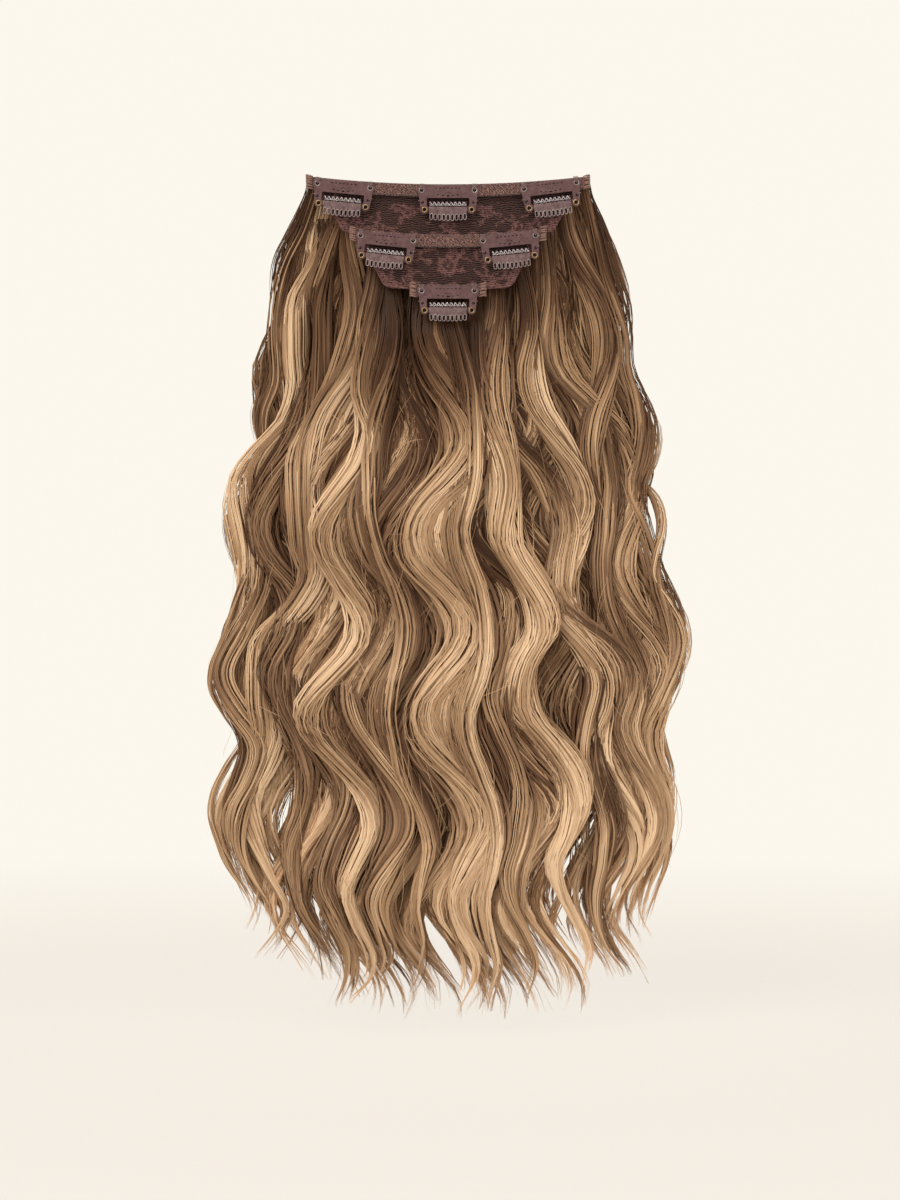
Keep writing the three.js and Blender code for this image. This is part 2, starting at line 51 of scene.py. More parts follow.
# Camera: square on to the clips, framed as the photo
PHOTO_WIDTH, PHOTO_SCALE = 900, 0.515
ORIGIN_ACROSS, ORIGIN_DOWN = 448, 190  # the photo pixel where the part's origin lies
CAMERA_DISTANCE, SENSOR_WIDTH, CLIP_END = 1600, 36, 20
CAMERA_AIM = (1.0, 0.0, -211.0)


def make_camera():
    data = bpy.data.cameras.new("camera")
    data.sensor_fit = "HORIZONTAL"
    data.sensor_width = SENSOR_WIDTH
    data.lens = SENSOR_WIDTH * CAMERA_DISTANCE / (PHOTO_WIDTH * PHOTO_SCALE)
    data.clip_end = CLIP_END
    camera = bpy.data.objects.new("camera", data)
    x, y, z = CAMERA_AIM
    camera.location = (x * MM, (y - CAMERA_DISTANCE) * MM, z * MM)
    camera.rotation_euler = (math.pi / 2, 0, 0)
    scene.collection.objects.link(camera)
    scene.camera = camera


make_camera()


# Mesh and material helpers
def link(obj):
    scene.collection.objects.link(obj)
    return obj


def mesh_object(name, vertices, faces, material):
    """vertices: an (n, 3) array in mm. faces: one (m, 3) or (m, 4) array, or a list of them."""
    mesh = bpy.data.meshes.new(name)
    groups = faces if isinstance(faces, list) else [faces]
    groups = [np.asarray(g, dtype=np.int32) for g in groups if len(g)]
    corners = np.concatenate([g.ravel() for g in groups])
    totals = np.concatenate([np.full(len(g), g.shape[1], dtype=np.int32) for g in groups])
    starts = np.concatenate([[0], np.cumsum(totals)[:-1]]).astype(np.int32)
    mesh.vertices.add(len(vertices))
    mesh.vertices.foreach_set("co", (np.asarray(vertices, dtype=np.float32) * MM).ravel())
    mesh.loops.add(len(corners))
    mesh.loops.foreach_set("vertex_index", corners)
    mesh.polygons.add(len(totals))
    mesh.polygons.foreach_set("loop_start", starts)
    mesh.polygons.foreach_set("loop_total", totals)
    mesh.polygons.foreach_set("use_smooth", np.full(len(totals), True))
    mesh.update(calc_edges=True)
    mesh.materials.append(material)
    return link(bpy.data.objects.new(name, mesh))


def attribute(obj, name, values):
    layer = obj.data.attributes.new(name, "FLOAT", "POINT")
    layer.data.foreach_set("value", np.asarray(values, dtype=np.float32).ravel())


def dress(obj, body, replaced=None):
    """The piece's body, and the solid that it takes the place of."""
    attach(obj, body)
    if replaced:
        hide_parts(replaced)


def ring_faces(count, sides, closed=False):
    """Quads between rings of points, each ring joined to the next one."""
    i, k = np.meshgrid(np.arange(count if closed else count - 1), np.arange(sides), indexing="ij")
    low, high, after = i * sides, (i + 1) % count * sides, (k + 1) % sides
    return np.stack([low + k, high + k, high + after, low + after], -1).reshape(-1, 4)


def cap_faces(count, sides):
    """Triangles that close the first and the last ring, to two points that follow all the rings."""
    k = np.arange(sides)
    after, last, middle = (k + 1) % sides, (count - 1) * sides, np.full(sides, count * sides)
    corners = [(middle, k, after), (middle + 1, last + after, last + k)]
    return np.concatenate([np.stack(triangle, -1) for triangle in corners])


def sheet_faces(rows, columns):
    """A closed sheet: a grid of points, the same grid behind it, and the quads round its four edges."""
    wide, behind = columns + 1, (rows + 1) * (columns + 1)
    i, k = np.meshgrid(np.arange(rows), np.arange(columns), indexing="ij")
    a = (i * wide + k).ravel()
    b, left, top = a + behind, np.arange(rows) * wide, np.arange(columns)
    right, foot = left + columns, top + rows * wide
    corners = [(a, a + wide, a + wide + 1, a + 1), (b, b + 1, b + wide + 1, b + wide),
               (left, left + behind, left + behind + wide, left + wide),
               (right, right + wide, right + behind + wide, right + behind),
               (top, top + 1, top + 1 + behind, top + behind),
               (foot, foot + behind, foot + 1 + behind, foot + 1)]
    return np.concatenate([np.stack(quad, -1) for quad in corners])


class Shapes:
    """Vertices and faces of many small shapes, gathered for one piece."""

    def __init__(self):
        self.vertices, self.faces, self.count = [], [], 0

    def add(self, vertices, faces):
        vertices = np.asarray(vertices, dtype=float)
        for group in faces if isinstance(faces, list) else [faces]:
            self.faces.append(np.asarray(group) + self.count)
        self.vertices.append(vertices)
        self.count += len(vertices)

    def make(self, name, material, body, slot, move=None, replaced=None):
        """One piece of all the shapes, in its place and on its body. slot: not used."""
        vertices = np.concatenate(self.vertices)
        if move is not None:
            vertices = move(vertices)
        kinds = sorted({g.shape[1] for g in self.faces})
        faces = [np.concatenate([g for g in self.faces if g.shape[1] == k]) for k in kinds]
        dress(mesh_object(name, vertices, faces, material), body, replaced)


def tube(path, radius, sides=6, closed=False):
    """A round tube along a path of points. radius: a number, or one for each point."""
    path = np.asarray(path, dtype=float)
    count = len(path)
    radius = np.broadcast_to(np.asarray(radius, dtype=float), (count,))
    if closed:
        along = np.roll(path, -1, 0) - np.roll(path, 1, 0)
    else:
        along = np.gradient(path, axis=0)
    along /= np.linalg.norm(along, axis=1, keepdims=True)
    start = np.array([0.0, 1.0, 0.0]) if abs(along[0][1]) < 0.9 else np.array([1.0, 0.0, 0.0])
    up = np.empty_like(path)
    for i in range(count):
        start = start - along[i] * np.dot(start, along[i])
        start /= np.linalg.norm(start)
        up[i] = start
    side = np.cross(along, up)
    turn = np.arange(sides) * 2 * math.pi / sides
    ring = up[:, None] * np.cos(turn)[None, :, None] + side[:, None] * np.sin(turn)[None, :, None]
    vertices = (path[:, None] + ring * radius[:, None, None]).reshape(-1, 3)
    quads = ring_faces(count, sides, closed)[:, [0, 3, 2, 1]]
    if closed:
        return vertices, quads
    return np.concatenate([vertices, path[[0, -1]]]), [quads, cap_faces(count, sides)[:, [0, 2, 1]]]


def lathe(profile, centre, sides):
    """A closed profile of (radius, y) turned about an axis along Y through the centre (x, y, z)."""
    profile = np.asarray(profile, dtype=float)
    turn = np.arange(sides) * 2 * math.pi / sides
    x = profile[:, 0][:, None] * np.cos(turn)
    z = profile[:, 0][:, None] * np.sin(turn)
    y = np.repeat(profile[:, 1][:, None], sides, 1)
    vertices = np.stack([x, y, z], -1).reshape(-1, 3) + np.asarray(centre)
    return vertices, ring_faces(len(profile), sides, True)


def plate(loops, front, thickness, round_off, steps):
    """A flat sheet in the XZ plane with rounded edges. loops: its outline and its holes, as (x, z) points."""
    curve = bpy.data.curves.new("outline", "CURVE")
    curve.dimensions = "2D"
    curve.fill_mode = "BOTH"
    curve.bevel_depth = round_off
    curve.bevel_resolution = steps
    curve.extrude = thickness / 2 - round_off
    curve.offset = -round_off
    for points in loops:
        spline = curve.splines.new("POLY")
        spline.points.add(len(points) - 1)
        spline.points.foreach_set("co", np.c_[points, np.zeros(len(points)), np.ones(len(points))].ravel())
        spline.use_cyclic_u = True
    holder = bpy.data.objects.new("outline", curve)
    mesh = bpy.data.meshes.new_from_object(holder)
    flat = np.empty(len(mesh.vertices) * 3)
    mesh.vertices.foreach_get("co", flat)
    flat = flat.reshape(-1, 3)
    vertices = np.c_[flat[:, 0], front + thickness / 2 - flat[:, 2], flat[:, 1]]
    mesh.calc_loop_triangles()
    triangles = np.empty(len(mesh.loop_triangles) * 3, dtype=np.int32)
    mesh.loop_triangles.foreach_get("vertices", triangles)
    bpy.data.objects.remove(holder)
    bpy.data.curves.remove(curve)
    bpy.data.meshes.remove(mesh)
    return vertices, triangles.reshape(-1, 3)


def circle(x, z, radius, steps=20, stretch=0.0):
    """A round hole, or an upright oblong one where stretch is more than 0."""
    turn = np.arange(steps) * 2 * math.pi / steps
    lift = np.where(np.sin(turn) >= 0, stretch / 2, -stretch / 2)
    return np.c_[x + radius * np.cos(turn), z + radius * np.sin(turn) + lift]


def arc(x, z, radius, start, end, steps):
    """Points on a circle from one angle to another, in degrees."""
    turn = np.radians(np.linspace(start, end, steps + 1))
    return np.c_[x + radius * np.cos(turn), z + radius * np.sin(turn)]


class Nodes:
    """A material's nodes, made and linked by name."""

    def __init__(self, name, **sockets):
        self.material = bpy.data.materials.new(name)
        self.material.use_nodes = True
        self.tree = self.material.node_tree
        self.shader = self.tree.nodes["Principled BSDF"]
        for key, value in sockets.items():
            self.shader.inputs[key.replace("_", " ")].default_value = value

    def node(self, kind, inputs=(), **settings):
        made = self.tree.nodes.new("ShaderNode" + kind)
        for key, value in settings.items():
            setattr(made, key, value)
        for key, value in dict(inputs).items():
            socket = made.inputs[key]
            if isinstance(value, bpy.types.NodeSocket):
                self.tree.links.new(value, socket)
            else:
                socket.default_value = value
        return made

    def to_shader(self, socket, value):
        self.tree.links.new(value, self.shader.inputs[socket])

    def coordinates(self, scale=(1, 1, 1)):
        source = self.node("TexCoord").outputs["Object"]
        return self.node("Mapping", {"Vector": source, "Scale": scale}).outputs["Vector"]

    def noise(self, size, detail=3, rough=0.55, distortion=0):
        """size: how fine the noise is along x, y and z, one number for all three, or a socket to read."""
        if isinstance(size, (int, tuple)):
            size = self.coordinates(size if isinstance(size, tuple) else (size,) * 3)
        return self.node("TexNoise", {"Vector": size, "Scale": 1.0, "Detail": detail, "Roughness": rough,
                                      "Distortion": distortion}).outputs["Fac"]

    def waves(self, size, distortion, detail_size, direction):
        return self.node("TexWave", {"Vector": self.coordinates(), "Scale": size, "Distortion": distortion,
                                     "Detail": 3, "Detail Scale": detail_size},
                         bands_direction=direction).outputs["Fac"]

    def between(self, value, low, high, at_low, at_high):
        """at_low where the value is low, at_high where it is high, and a smooth step between the two."""
        ends = {"Value": value, "From Min": low, "From Max": high, "To Min": at_low, "To Max": at_high}
        return self.node("MapRange", ends, interpolation_type="SMOOTHSTEP").outputs["Result"]

    def ramp(self, fac, stops):
        made = self.node("ValToRGB", {"Fac": fac})
        ramp = made.color_ramp
        while len(ramp.elements) < len(stops):
            ramp.elements.new(0.5)
        for element, (place, colour) in zip(ramp.elements, stops):
            element.position = place
            element.color = (*colour, 1)
        return made.outputs["Color"]

    def math(self, operation, a, b=0.0, c=None):
        inputs = {0: a, 1: b} if c is None else {0: a, 1: b, 2: c}
        return self.node("Math", inputs, operation=operation).outputs["Value"]

    def mix(self, fac, a, b):
        made = self.node("Mix", data_type="RGBA", blend_type="MIX")
        for socket, value in ((made.inputs[0], fac), (made.inputs[6], a), (made.inputs[7], b)):
            if isinstance(value, bpy.types.NodeSocket):
                self.tree.links.new(value, socket)
            else:
                socket.default_value = (*value, 1) if isinstance(value, tuple) and len(value) == 3 else value
        return made.outputs[2]

    def bump(self, height, distance, strength=1.0):
        made = self.node("Bump", {"Height": height, "Distance": distance, "Strength": strength})
        self.to_shader("Normal", made.outputs["Normal"])

    def attribute(self, name):
        return self.node("Attribute", attribute_name=name).outputs["Fac"]


# Materials
BLACK, WHITE = (0.0,) * 3, (1.0,) * 3
HAIR_SHADES = [(0.0, (0.05, 0.022, 0.01)), (0.22, (0.098, 0.044, 0.021)), (0.45, (0.238, 0.129, 0.069)),
               (0.7, (0.51, 0.308, 0.167)), (1.0, (0.9, 0.63, 0.395))]
CORE_SHADES = [(0.3, (0.06, 0.028, 0.015)), (0.55, (0.125, 0.066, 0.036)), (0.75, (0.22, 0.125, 0.07))]
TAPE_SHADES = [(0.3, (0.06, 0.022, 0.018)), (0.5, (0.15, 0.062, 0.052)), (0.72, (0.3, 0.15, 0.115))]
NET_SHADES = [(0.36, (0.006, 0.003, 0.002)), (0.55, (0.036, 0.016, 0.013)), (0.76, (0.13, 0.06, 0.052))]
MOTIF_SHADES = [(0.3, (0.03, 0.01, 0.009)), (0.5, (0.15, 0.062, 0.056)), (0.76, (0.29, 0.15, 0.134))]
GRIP_SHADES_AND_GLINTS = [(0.35, (0.25, 0.19, 0.195)), (0.65, (0.75, 0.69, 0.69))]
BRASS_SHADES = [(0.3, (0.2, 0.12, 0.06)), (0.7, (0.5, 0.34, 0.18))]
FLOOR_SHADES = [(0.3, (0.29, 0.265, 0.25)), (0.7, (0.31, 0.285, 0.27))]


def hair_material():
    m = Nodes("hair_fibre", Roughness=0.42, Anisotropic=0.6, Specular_IOR_Level=0.14)
    tone, along = m.attribute("tone"), m.attribute("along")
    cloudy = m.noise((90, 90, 22), 2)
    fibre = m.node("CombineXYZ", {"X": m.attribute("fibre"), "Y": m.math("MULTIPLY", along, 9.0)})
    fine = m.noise(fibre.outputs["Vector"], 2)
    shade = m.math("ADD", tone, m.math("MULTIPLY_ADD", cloudy, 0.16, -0.08))
    shade = m.math("ADD", shade, m.math("MULTIPLY_ADD", fine, 0.2, -0.1))
    rooted = m.ramp(along, [(0.0, BLACK), (0.2, (0.5,) * 3), (0.45, WHITE)])
    shade = m.math("MULTIPLY", shade, m.math("MULTIPLY_ADD", rooted, 0.25, 0.75))
    m.to_shader("Base Color", m.ramp(shade, HAIR_SHADES))
    m.bump(fine, 0.0001, 0.35)
    return m.material


def noise_material(name, noise, shades, bump, grain=None, **sockets):
    """Shades and bumps from one noise. bump: distance and strength. grain: what it does to the roughness."""
    m = Nodes(name, **sockets)
    noise = m.noise(*noise)
    m.to_shader("Base Color", m.ramp(noise, shades))
    if grain:
        m.to_shader("Roughness", m.math("MULTIPLY_ADD", noise, *grain))
    m.bump(noise, *bump)
    return m.material


def thread_material(name, dark, light):
    return noise_material(name, (3000, 2), [(0.3, dark), (0.7, light)], (0.0001, 0.6), Roughness=0.6,
                          Sheen_Weight=0.3)


def metal_material(name, dark, light, roughness):
    m = Nodes(name, Metallic=0.55, Specular_IOR_Level=0.5)
    cloudy = m.noise(420, 3)
    grain = m.noise((6000, 6000, 2500), 2)
    m.to_shader("Base Color", m.ramp(cloudy, [(0.3, dark), (0.7, light)]))
    m.to_shader("Roughness", m.math("MULTIPLY_ADD", grain, 0.18, roughness - 0.09))
    m.bump(m.math("MULTIPLY_ADD", cloudy, 1.5, grain), 0.00004, 0.5)
    return m.material


def tape_material():
    m = Nodes("band_tape", Roughness=0.78, Sheen_Weight=0.25)
    weave = m.waves(420, 6, 1.2, "DIAGONAL")
    cloudy = m.noise(600, 4, 0.65, 0.6)
    both = m.math("MULTIPLY_ADD", weave, 0.35, m.math("MULTIPLY", cloudy, 0.75))
    knots = m.noise((900, 900, 1500), 2, 0.5)
    dark = m.ramp(knots, [(0.42, BLACK), (0.5, WHITE)])
    m.to_shader("Base Color", m.mix(dark, (0.035, 0.014, 0.011), m.ramp(both, TAPE_SHADES)))
    m.bump(m.math("ADD", both, dark), 0.0003, 0.8)
    return m.material


def lace_material():
    m = Nodes("lace_net", Roughness=0.85, Sheen_Weight=0.08, Specular_IOR_Level=0.25)
    wavy = m.waves(330, 9, 0.7, "Z")
    knots = m.noise((1300, 1300, 1700), 3, 0.6)
    ground = m.ramp(m.math("MULTIPLY_ADD", knots, 0.5, m.math("MULTIPLY", wavy, 0.5)), NET_SHADES)
    raised = m.ramp(m.math("MULTIPLY_ADD", knots, 0.8, m.math("MULTIPLY", wavy, 0.25)), MOTIF_SHADES)
    m.to_shader("Base Color", m.mix(m.attribute("motif"), ground, raised))
    m.bump(m.math("ADD", knots, m.math("MULTIPLY", wavy, 0.7)), 0.00025, 0.8)
    return m.material


HAIR = hair_material()
# the core's dark brown: partly the hair's own darker underlayer, partly painted shade deep between the locks
CORE = noise_material("hair_underlayer", ((900, 900, 14), 4, 0.6, 0.4), CORE_SHADES, (0.0006, 0.8),
                      Roughness=0.6, Specular_IOR_Level=0.3)
CLIP = metal_material("clip_enamel", (0.12, 0.06, 0.062), (0.19, 0.105, 0.108), 0.34)
COMB = metal_material("comb_enamel", (0.15, 0.085, 0.085), (0.27, 0.18, 0.182), 0.3)
BRASS = noise_material("brass", (900, 3), BRASS_SHADES, (0.00003, 0.5), (0.25, 0.2), Metallic=1.0)
# lighter metal for the ear rings and the comb's slot rims: painted highlight where their rounded edges catch
# light
RIM_HIGHLIGHT = metal_material("painted_rim_highlight", (0.26, 0.19, 0.19), (0.46, 0.37, 0.37), 0.26)
# painted shadow: near-black metal for the plugs and the sheet behind the clips' holes
SHADOW = metal_material("painted_shadow_in_holes", (0.008, 0.004, 0.004), (0.02, 0.01, 0.01), 0.7)
# light grey mottling: partly the strip's own colour, partly painted glints
SILICONE = noise_material("grip_strip", (1500, 2), GRIP_SHADES_AND_GLINTS, (0.00004, 0.4), Roughness=0.16,
                          Transmission_Weight=0.1, IOR=1.45)
COPPER = thread_material("copper_thread", (0.11, 0.045, 0.032), (0.38, 0.2, 0.14))
MAUVE = thread_material("mauve_thread", (0.08, 0.036, 0.034), (0.24, 0.13, 0.12))
TAPE = tape_material()
LACE = lace_material()


# Stage and light
FLOOR = -434.0
FLOOR_REACH, FLOOR_NEAR, FLOOR_FAR = 4000, -2500, 5500
CARD = (0.975, 0.935, 0.845)
AMBIENT = 0.72


def make_stage():
    m = Nodes("studio_floor", Roughness=0.9, Specular_IOR_Level=0.1, Emission_Strength=1.0,
              Emission_Color=(0.49, 0.445, 0.41, 1))
    place = m.node("TexCoord").outputs["Object"]
    far = m.node("VectorMath", {0: place}, operation="LENGTH").outputs["Value"]
    grain = m.noise(300, 2)
    m.to_shader("Base Color", m.ramp(grain, FLOOR_SHADES))
    near = m.between(far, 0.02, 0.3, 0.36, 0.52)
    m.to_shader("Alpha", m.math("MULTIPLY", near, m.between(far, 0.3, 1.2, 1.0, 0.0)))
    # one face, since rays slip through where the edges of see-through faces meet
    corners = np.array([(-FLOOR_REACH, FLOOR_NEAR, 0), (FLOOR_REACH, FLOOR_NEAR, 0), (0, FLOOR_FAR, 0)])
    floor = mesh_object("floor", corners, np.array([(0, 1, 2)]), m.material)
    floor.location.z = FLOOR * MM

    world = bpy.data.worlds.new("studio")
    world.use_nodes = True
    background = world.node_tree.nodes["Background"]
    background.inputs["Color"].default_value = (*CARD, 1)
    seen = world.node_tree.nodes.new("ShaderNodeLightPath")
    strength = world.node_tree.nodes.new("ShaderNodeMapRange")
    strength.inputs["To Min"].default_value = AMBIENT
    strength.inputs["To Max"].default_value = 1.0
    world.node_tree.links.new(seen.outputs["Is Camera Ray"], strength.inputs["Value"])
    world.node_tree.links.new(strength.outputs["Result"], background.inputs["Strength"])
    scene.world = world
    scene.view_settings.view_transform = "Standard"
    scene.view_settings.look = "None"


def area_light(name, place, target, size, energy, colour=(1, 1, 1)):
    data = bpy.data.lights.new(name, "AREA")
    data.shape = "DISK"
    data.size = size
    data.energy = energy
    data.color = colour
    light = link(bpy.data.objects.new(name, data))
    light.location = place
    light.rotation_euler = (Vector(target) - Vector(place)).to_track_quat("-Z", "Y").to_euler()


make_stage()
area_light("key", (-0.8, -1.4, 1.1), (0, 0, -0.2), 1.1, 15, (1, 0.975, 0.945))
area_light("fill", (1.3, -1.4, 0.2), (0, 0, -0.25), 1.0, 4, (1, 0.98, 0.96))
area_light("top", (0.0, -0.1, 1.6), (0, 0.02, -0.3), 1.8, 12)


# Hair
HAIR_DROP, HAIR_SPREAD, HAIR_DEPTH = 426, 250, 36
FANNING, WAVE_LENGTH, WAVE_SWAY, WAVE_DEPTH = 2.8, 97, 14, 3
WAVE_ONSET, WAVE_GROWTH, FORWARD_SWING = 0.03, 0.3, 6
FREE_DROP, FREE_GROWTH = 104, 145
ROOT_THICKNESS, ROOT_LIFT, FILL_DROP, TIER_GAP = 4, 2, 90, 0.9
# fan, drop, crest, wave, sway and out of each lock, as in the solids
LOCKS = {
    "top": [(-0.85, 0.89, 1.34, 0.84, 0.55, 0.1), (-0.72, 0.94, 1.22, 0.92, 0.7, -0.1),
            (-0.48, 0.93, 1.1, 1.04, 0.8, 0.12), (-0.24, 0.95, 1.15, 1.04, 0.8, -0.05),
            (0, 0.97, 1.3, 1, 0.7, 0.08), (0.22, 0.96, 1.28, 1.02, 0.7, -0.1),
            (0.44, 0.94, 1.2, 1.04, 0.8, 0.12), (0.7, 0.945, 1.24, 1.05, 0.7, -0.08),
            (0.83, 0.9, 1.3, 1.06, 0.6, 0.1)],
    "middle": [(-0.6, 0.95, 1.08, 1.07, 0.8, 0.12), (-0.3, 0.975, 1.1, 1.08, 0.9, -0.1),
               (0, 0.98, 1.3, 1, 0.8, 0), (0.33, 0.975, 1.3, 1.02, 0.8, -0.1),
               (0.68, 0.955, 1.2, 1.04, 0.8, 0.12)],
    "bottom": [(-0.36, 0.985, 1.25, 0.98, 0.8, -0.08), (-0.08, 1, 1.38, 0.98, 1, 0.12),
               (0.16, 0.995, 1.24, 1.05, 0.9, -0.08), (0.42, 0.985, 1.16, 1.05, 0.9, 0.1)],
}
# tier: the one in front of it, its share of the depth, and how far down its core reaches, of the drop
TIERS = {"top": ("middle", 0.36, 0.7), "middle": ("bottom", 0.33, 0.74), "bottom": (None, 0.31, 0.76)}
# what scene.py lays in a tier: locks side by side, the half width of one, how dark its roots are
COUNTS = {"top": (25, 8.5, 0.26), "middle": (16, 9.0, 0.44), "bottom": (11, 9.5, 0.5)}
# strands of a lock, and segments of a strand, in the back layer and in the front one
STRANDS = {"top": (56, 50), "middle": (24, 66), "bottom": (24, 74)}
TIER_SEGMENTS = {"top": (36, 40), "middle": (32, 42), "bottom": (32, 44)}
# how much two locks of one row differ: fan, drop, crest, wave, sway and out
LOCK_VARIATION = (0.015, 0.006, 0.045, 0.015, 0.08, 0)
# how far past its first and last lock a tier's strands and its core go, in locks
STRANDS_PAST, CORE_PAST = 0.34, 0.3
# a strand's width in mm, and how finely the noise along it varies
TIER_STRAND, FACE_STRAND = 0.82, 0.62
FIBRES_PER_MM, FIBRE_STEP = 3.0, 5.3
# how much lightness varies from clump to clump and from strand to strand
CLUMP_TONES, STRAND_TONES = 0.14, 0.055
# the share of strands that stray from their clump, and how much ribbons turn out of line
STRAY_SHARE, STRAY_REACH, FACING_SPREAD = 0.04, 0.35, 0.15
ROOT_FADE, ROOT_HALF_DEPTH, LOCK_HALF_DEPTH, FACE_HALF_DEPTH = 80, 1.2, 3.6, 2.8
# how far behind the front of the hair a tier's strands stay, how far above the floor all of them end
BEHIND_FRONT, TIP_CLEARANCE = 2.6, 6
# the core: its grid, how far it lies behind the front, where it starts, its ragged foot
CORE_COLUMNS, CORE_ROWS, CORE_DEPTH, CORE_START, CORE_RAGGED = 44, 50, 6.0, 14, 22
CORE_SHARE, CORE_RIDGE, CORE_RIDGES = 0.1, 0.03, 2.2
# face locks: segments, strands at a half width of 6.5 mm, and the heights past which one starts or ends
# inside the hair
FACE_SEGMENTS, FACE_STRANDS, FACE_WIDTH = 48, 150, 6.5
INSIDE_START, INSIDE_END, INSIDE_DEPTH, RAGGED_START = -70, -345, 7, 34.0
# how far up a face lock is drawn on to its band, for one that starts above SIDE_ROOTS and for the others
SIDE_ROOTS, SIDE_LIFT, MIDDLE_LIFT = -20, 18, 12
# roots under the lowest band: darker roots and painted shade; how far sideways, where it starts, how much
LOW_ROOTS_HALF, LOW_ROOTS_TOP, LOW_ROOTS_DARK_AND_SHADE = 60, -50, 0.24
FLYAWAYS, FLYAWAY_POINTS, FLYAWAY_REACH = 230, 16, 5.0
FLYAWAY_TOP, FLYAWAY_FOOT = 95, 350


def smooth(t):
    """A smooth step from 0 to 1."""
    u = np.clip(t, 0, 1)
    return u * u * (3 - 2 * u)


def band_radius(tier):
    width, sag, _ = BANDS[tier]
    return width * width / (8 * sag) + sag / 2


def band_line(tier, x):
    """The height of a band's middle, which sags between its ends."""
    drop, radius = BANDS[tier][2], band_radius(tier)
    return radius - np.sqrt(np.maximum(radius * radius - np.asarray(x) ** 2, 0)) - drop


def tier_thickness(tier, z):
    full = TIERS[tier][1] * HAIR_DEPTH
    return ROOT_THICKNESS + (full - ROOT_THICKNESS) * smooth((-z - BANDS[tier][2]) / FILL_DROP)


def tier_front(tier, z):
    ahead = TIERS[tier][0]
    if ahead is None:
        return HAIR_FRONT + 0 * z
    room = BANDS[ahead][2] - BANDS[tier][2] - BAND_HEIGHT
    settled = smooth((-z - BANDS[tier][2]) / room)
    return HAIR_FRONT + settled * (tier_front(ahead, z) + tier_thickness(ahead, z) + TIER_GAP - HAIR_FRONT)


def tier_depth(tier, z):
    """The middle of a tier and its thickness, along y, at heights z."""
    thick = tier_thickness(tier, z)
    free = smooth((-z - FREE_DROP) / FREE_GROWTH)
    swing = WAVE_DEPTH * np.sin(-2 * np.pi * z / WAVE_LENGTH) - FORWARD_SWING
    return tier_front(tier, z) + thick / 2 + free * swing, thick


def lock_row(tier, place):
    """A row between two of the table's: place 0 is its first lock, and -0.5 the tier's left side."""
    rows = np.array(LOCKS[tier], dtype=float)
    at = np.clip(place, 0, len(rows) - 1)
    row = np.array([np.interp(at, np.arange(len(rows)), rows[:, c]) for c in range(6)])
    row[0] += (place - at) * 0.5 * (abs(rows[0][0]) + abs(rows[-1][0])) / (len(rows) - 1)
    root = BANDS[tier][0] / 2 * ((2 * place + 1) / len(rows) - 1)
    return row, root


def lock_x(row, root, z):
    """A lock's middle line: it fans out from its root and swings in waves that grow downwards."""
    fan, drop, crest, wave, sway, _ = row
    t = np.clip(-z / (drop * HAIR_DROP), 0, 1)
    opened = 1 - (1 - t) ** FANNING
    grown = smooth((t - WAVE_ONSET) / WAVE_GROWTH)
    phase = 2 * np.pi * (-z / WAVE_LENGTH - crest) / wave
    return root + (fan * HAIR_SPREAD / 2 - root) * opened + sway * WAVE_SWAY * grown * np.cos(phase)


class Ribbons:
    """Flat strands of hair, gathered for one piece."""

    def __init__(self):
        self.centre, self.side, self.tone, self.along, self.width = [], [], [], [], []

    def add(self, centre, side, width, tone, along):
        """centre: (strands, points, 3). side: unit vectors across them. The rest: (strands, points)."""
        for held, value in ((self.centre, centre), (self.side, side), (self.width, width), (self.tone, tone),
                            (self.along, along)):
            held.append(value)

    def make(self, name):
        centre, side = np.concatenate(self.centre), np.concatenate(self.side)
        width, tone, along = (np.concatenate(v) for v in (self.width, self.tone, self.along))
        strands, points = tone.shape
        half = side * width[..., None] / 2
        vertices = np.stack([centre - half, centre + half], 2).reshape(-1, 3)
        s, p = np.meshgrid(np.arange(strands), np.arange(points - 1), indexing="ij")
        a = (s * points + p) * 2
        quads = np.stack([a, a + 1, a + 3, a + 2], -1).reshape(-1, 4)
        obj = mesh_object(name, vertices, quads, HAIR)
        attribute(obj, "tone", np.repeat(tone[..., None], 2, 2))
        attribute(obj, "along", np.repeat(along[..., None], 2, 2))
        across = np.stack([0 * width, width], -1) * FIBRES_PER_MM
        attribute(obj, "fibre", np.arange(strands)[:, None, None] * FIBRE_STEP + across)
        layer = obj.data.uv_layers.new(name="strands")
        u = (np.arange(strands)[:, None, None] + np.array([0.1, 0.9])) / strands + np.zeros((1, points, 1))
        v = np.linspace(1, 0, points)[None, :, None] + np.zeros((strands, 1, 2))
        uv = np.stack([u, v], -1).reshape(-1, 2)
        layer.data.foreach_set("uv", uv[quads.ravel()].astype(np.float32).ravel())
        dress(obj, "base")


def unit(vectors):
    return vectors / (np.linalg.norm(vectors, axis=-1, keepdims=True) + 1e-9)


